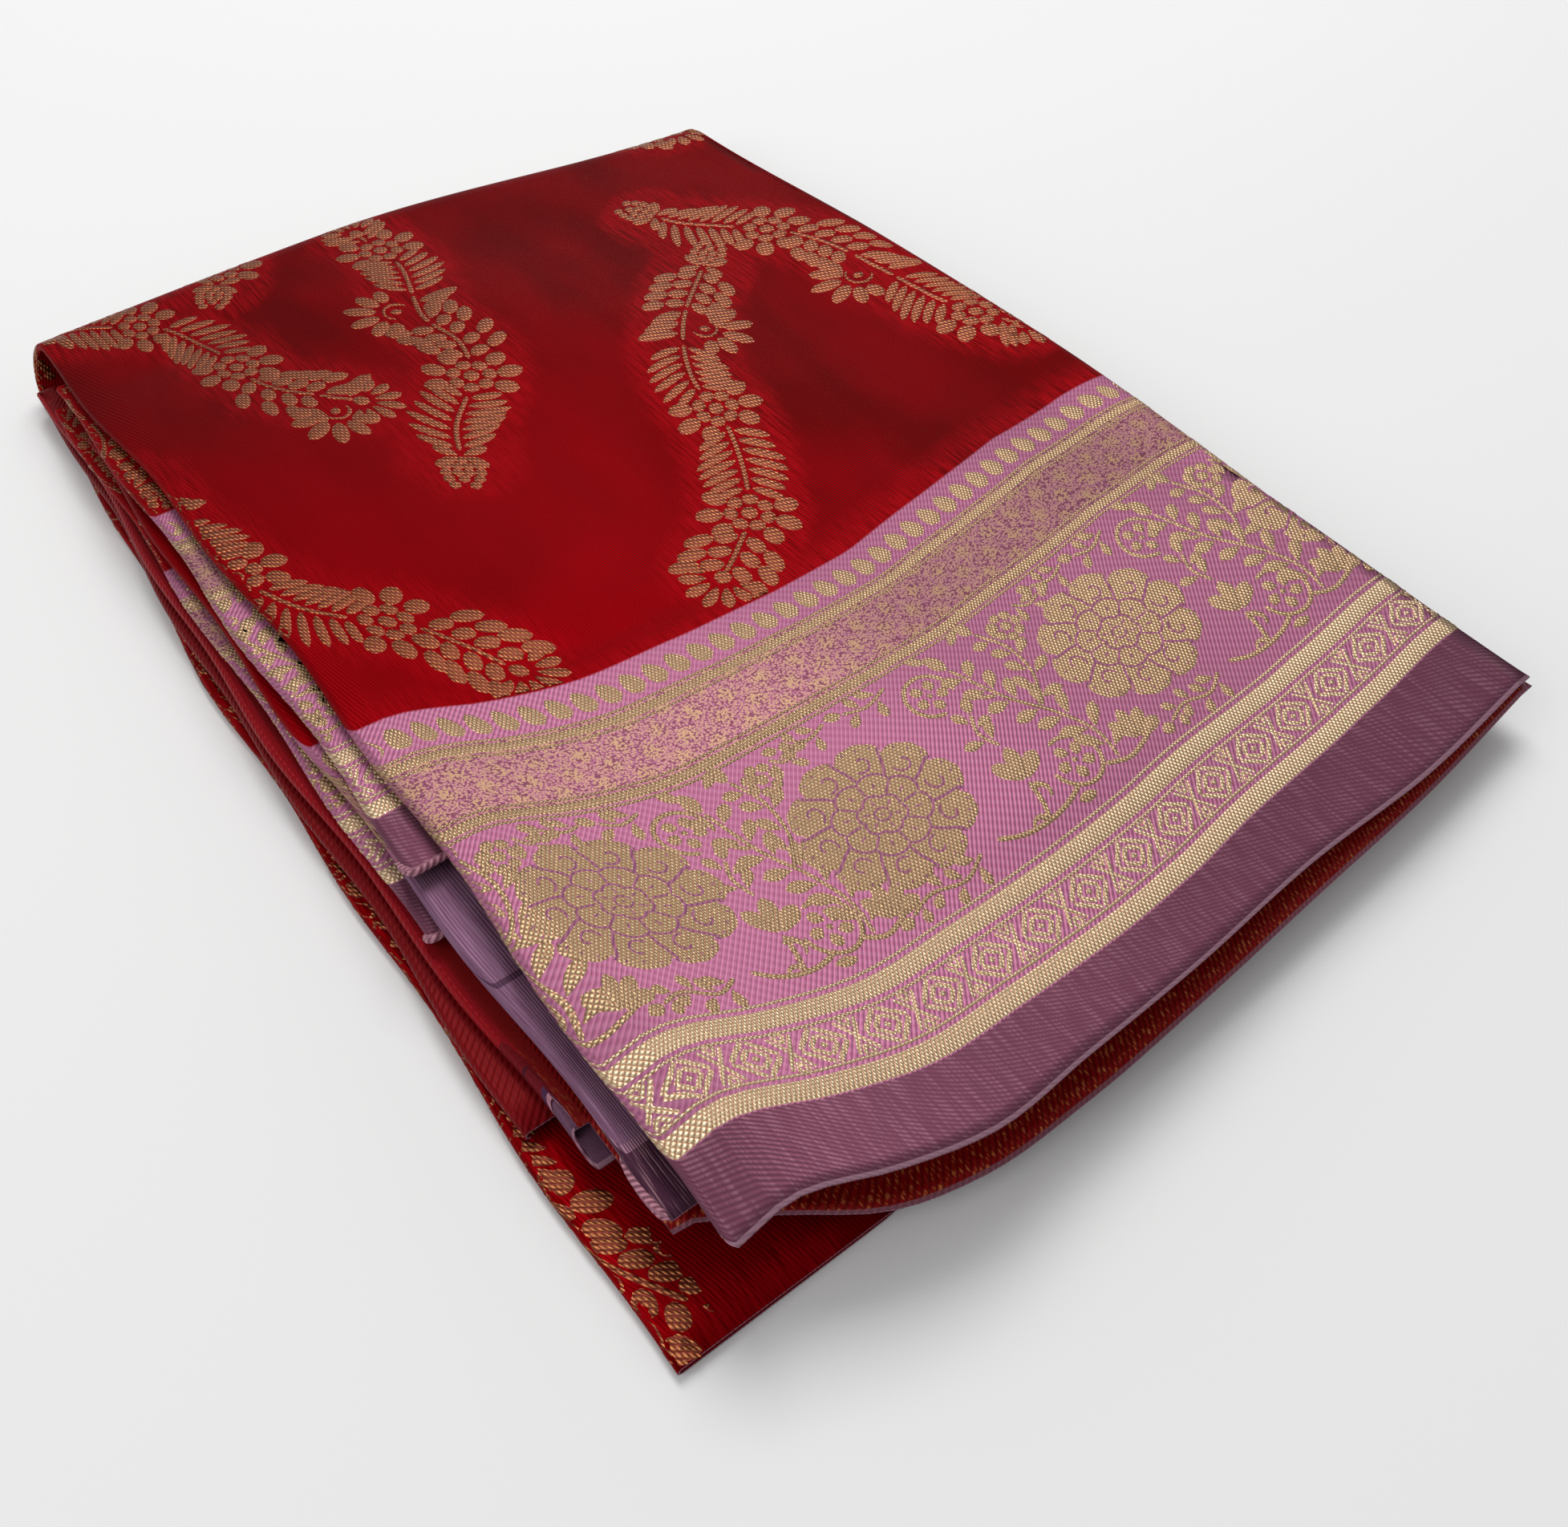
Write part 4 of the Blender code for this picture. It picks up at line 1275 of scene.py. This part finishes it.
def ringed_flower(gold, centre, radius, opening):
    """A small flower of curled petals inside a ring of stem."""
    turns = opening + np.linspace(0.5, 5.6, 30)
    thread(gold, np.array(centre) + circle(turns) * radius, 0.00060, 0.0002)
    petal(gold, centre, 0.0, -0.0008, 0.0, 0.0, 0.0016, 0.0015, widest=0.5)
    for k in range(5):
        angle = opening + math.tau * k / 5
        petal(gold, centre, angle, 0.0014, 0.0004, 0.7, radius * 0.58, 0.0030, bend=0.9, widest=0.55)


def border_scroll(gold, left, right):
    """What fills the field from one large flower to the next: the same order each time, drawn out to fit."""
    stretch = (right - left) / 0.068

    def place(u, v):
        return (left + u * 0.001 * stretch, v * 0.001)

    ringed_flower(gold, place(37, 47.8), 0.0062, 2.6)
    stem_line(gold, (place(13, 44.0), place(18, 41.6), place(24, 40.8), place(30, 41.6), place(34, 43.2)))
    stem_line(gold, (place(41, 42.9), place(46, 40.6), place(51, 41.2), place(56, 43.0)))
    stem_line(gold, (place(24, 40.8), place(25.5, 45), place(26.5, 50)))
    fan(gold, place(26.5, 50), 1.35, 0.62, 3, 0.0090, 0.0042)
    hook(gold, place(27.5, 44.5), 0.5, 1, 0.0024, 0.0019)
    hook(gold, place(20.5, 41.2), 1.4, -1, 0.0021, 0.0017)
    gold.put(leaf(place(31, 40.2), -0.1, 0.0052, 0.0026, widest=0.5))
    fan(gold, place(51, 41.8), 1.1, 0.75, 4, 0.0088, 0.0036)
    leafy(gold, (place(44.5, 42.0), place(45.5, 50), place(42.5, 59), place(37, 69), place(33, 82)), 7,
          0.0078, 0.0034)
    ringed_flower(gold, place(25.5, 79.0), 0.0058, 5.4)
    stem_line(gold, (place(36, 70), place(33, 72), place(31, 75)))
    leafy(gold, (place(41, 62), place(46, 69), place(47, 78), place(44, 86)), 4, 0.0066, 0.0031)
    round_flower(gold, place(51.0, 82.5), 0.0044, 0.4)
    leafy(gold, (place(56, 86), place(59, 83.5), place(63, 84.5)), 2, 0.0050, 0.0025)
    leafy(gold, (place(20, 87), place(14, 85), place(9, 86.5)), 2, 0.0052, 0.0026)
    leafy(gold, (place(28, 60), place(26.5, 65), place(28.5, 70)), 2, 0.0056, 0.0027)
    gold.put(leaf(place(31, 86.5), 2.4, 0.0058, 0.0028, widest=0.5))
    gold.put(leaf(place(38, 87.0), 0.7, 0.0056, 0.0028, widest=0.5))
    leafy(gold, (place(9, 43.6), place(3, 40.8), place(-4, 42.4), place(-10, 40.6)), 4, 0.0048, 0.0026)
    leafy(gold, (place(5, 87.0), place(0, 85.4), place(-6, 87.0)), 2, 0.0044, 0.0024)


SIDE_ROSETTE = Rosette(0.2320, 0.064)
rows = (Rosette(-0.036, 0.064),) + ROSETTES + (SIDE_ROSETTE, Rosette(0.2900, 0.064))
for left, right in zip(rows, rows[1:]):
    border_scroll(blossoms, left.u, right.u)
for rosette in ROSETTES + (SIDE_ROSETTE,):
    big_flower(blossoms, np.array([rosette.u, rosette.v]))
for left, right in ((-0.215, -0.150), (-0.545, -0.480)):
    border_scroll(blossoms, left, right)
for fold_middle in (-0.181, -0.510):
    for v in np.arange(0.043, 0.086, 0.0105):
        fan(blossoms, (fold_middle - 0.006, v), 0.5, 0.9, 3, 0.0085, 0.0040)
        blossoms.put(leaf((fold_middle + 0.004, v + 0.004), 1.2, 0.0075, 0.0040, widest=0.5))
blossoms.piece("gold_border_flowers", border_gold)

rose, weave = woven("rose_silk_weft")
colour = dyed(rose, "#7c4062", ("#a7647f", stripes(rose, weave, 0.77, -0.64, TWILL_LINES)))
join(rose.node_tree.nodes["Principled BSDF"], {
    "Base Color": colour, "Roughness": 0.55, "Specular IOR Level": 0.15})
outlines.piece("rose_petal_lines", rose)


# ROLLED SELVEDGES. Where the stacked folds end at the open side, the selvedge rolls over into a soft cord of
# pale rose and mauve threads.
CORD_RADIUS = 0.00085
CORD_SIDES = 10
SIDE_WIDTH = 0.00054
CORD_STEP = 0.0006
CORD_RISE = 0.0003
TAPER_LENGTH = 0.002
BLUNT_END = 0.15

# The first and last column of the cloth under each cord.
CORD_RUNS = ((116, 146), (4, 36), (60, 84))
cord_points, cord_faces, cord_uvs = [], [], []
for first, last in CORD_RUNS:
    path = []
    for column in range(first, last + 1):
        row = int((~np.isnan(GRID[column, :, 0])).argmax())
        path.append(GRID[column, row] + SIDE * NORMALS[column, row + 1] * CORD_RISE)
    path = np.array(path)
    path = path[~np.isnan(path).any(axis=1)]
    travel = travelled(path)
    even = np.arange(0.0, travel[-1], CORD_STEP)
    path = np.stack([np.interp(even, travel, path[:, k]) for k in range(3)], axis=1)
    ahead = np.gradient(path, axis=0)
    ahead /= np.linalg.norm(ahead, axis=1)[:, None]
    first_side = np.cross(ahead, np.array([0.0, 1.0, 0.0]))
    first_side /= np.linalg.norm(first_side, axis=1)[:, None]
    second_side = np.cross(ahead, first_side)
    base = sum(len(points) for points in cord_points)
    taper = np.minimum(1.0, np.minimum(even, even[-1] - even) / TAPER_LENGTH + BLUNT_END)
    for index, turn in enumerate(np.linspace(0.0, math.tau, CORD_SIDES, endpoint=False)):
        out = first_side * math.cos(turn) + second_side * math.sin(turn)
        cord_points.append(path + out * (CORD_RADIUS * taper)[:, None])
        cord_uvs.append(np.stack([even, np.full(len(even), index * SIDE_WIDTH)], axis=1))
    count = len(even)
    for side in range(CORD_SIDES):
        here = base + side * count + np.arange(count - 1)
        there = base + (side + 1) % CORD_SIDES * count + np.arange(count - 1)
        cord_faces.append(np.stack([here, here + 1, there + 1, there], axis=1))
cords = woven_mesh("rolled_selvedges", np.vstack(cord_points), np.vstack(cord_faces), np.vstack(cord_uvs))
cord_silk, weave = woven("rolled_selvedge_silk")
twist = stripes(cord_silk, weave, 0.8, 0.6, 0.0011)
bump = add(cord_silk, "Bump", {}, {"Height": twist, "Strength": 0.5, "Distance": 0.0003})
join(cord_silk.node_tree.nodes["Principled BSDF"], {
    "Base Color": dyed(cord_silk, "#6e3f50", ("#b9808e", twist)), "Normal": bump, "Roughness": 0.6,
    "Specular IOR Level": 0.2})
cords.data.materials.append(cord_silk)
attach(cords, "root")
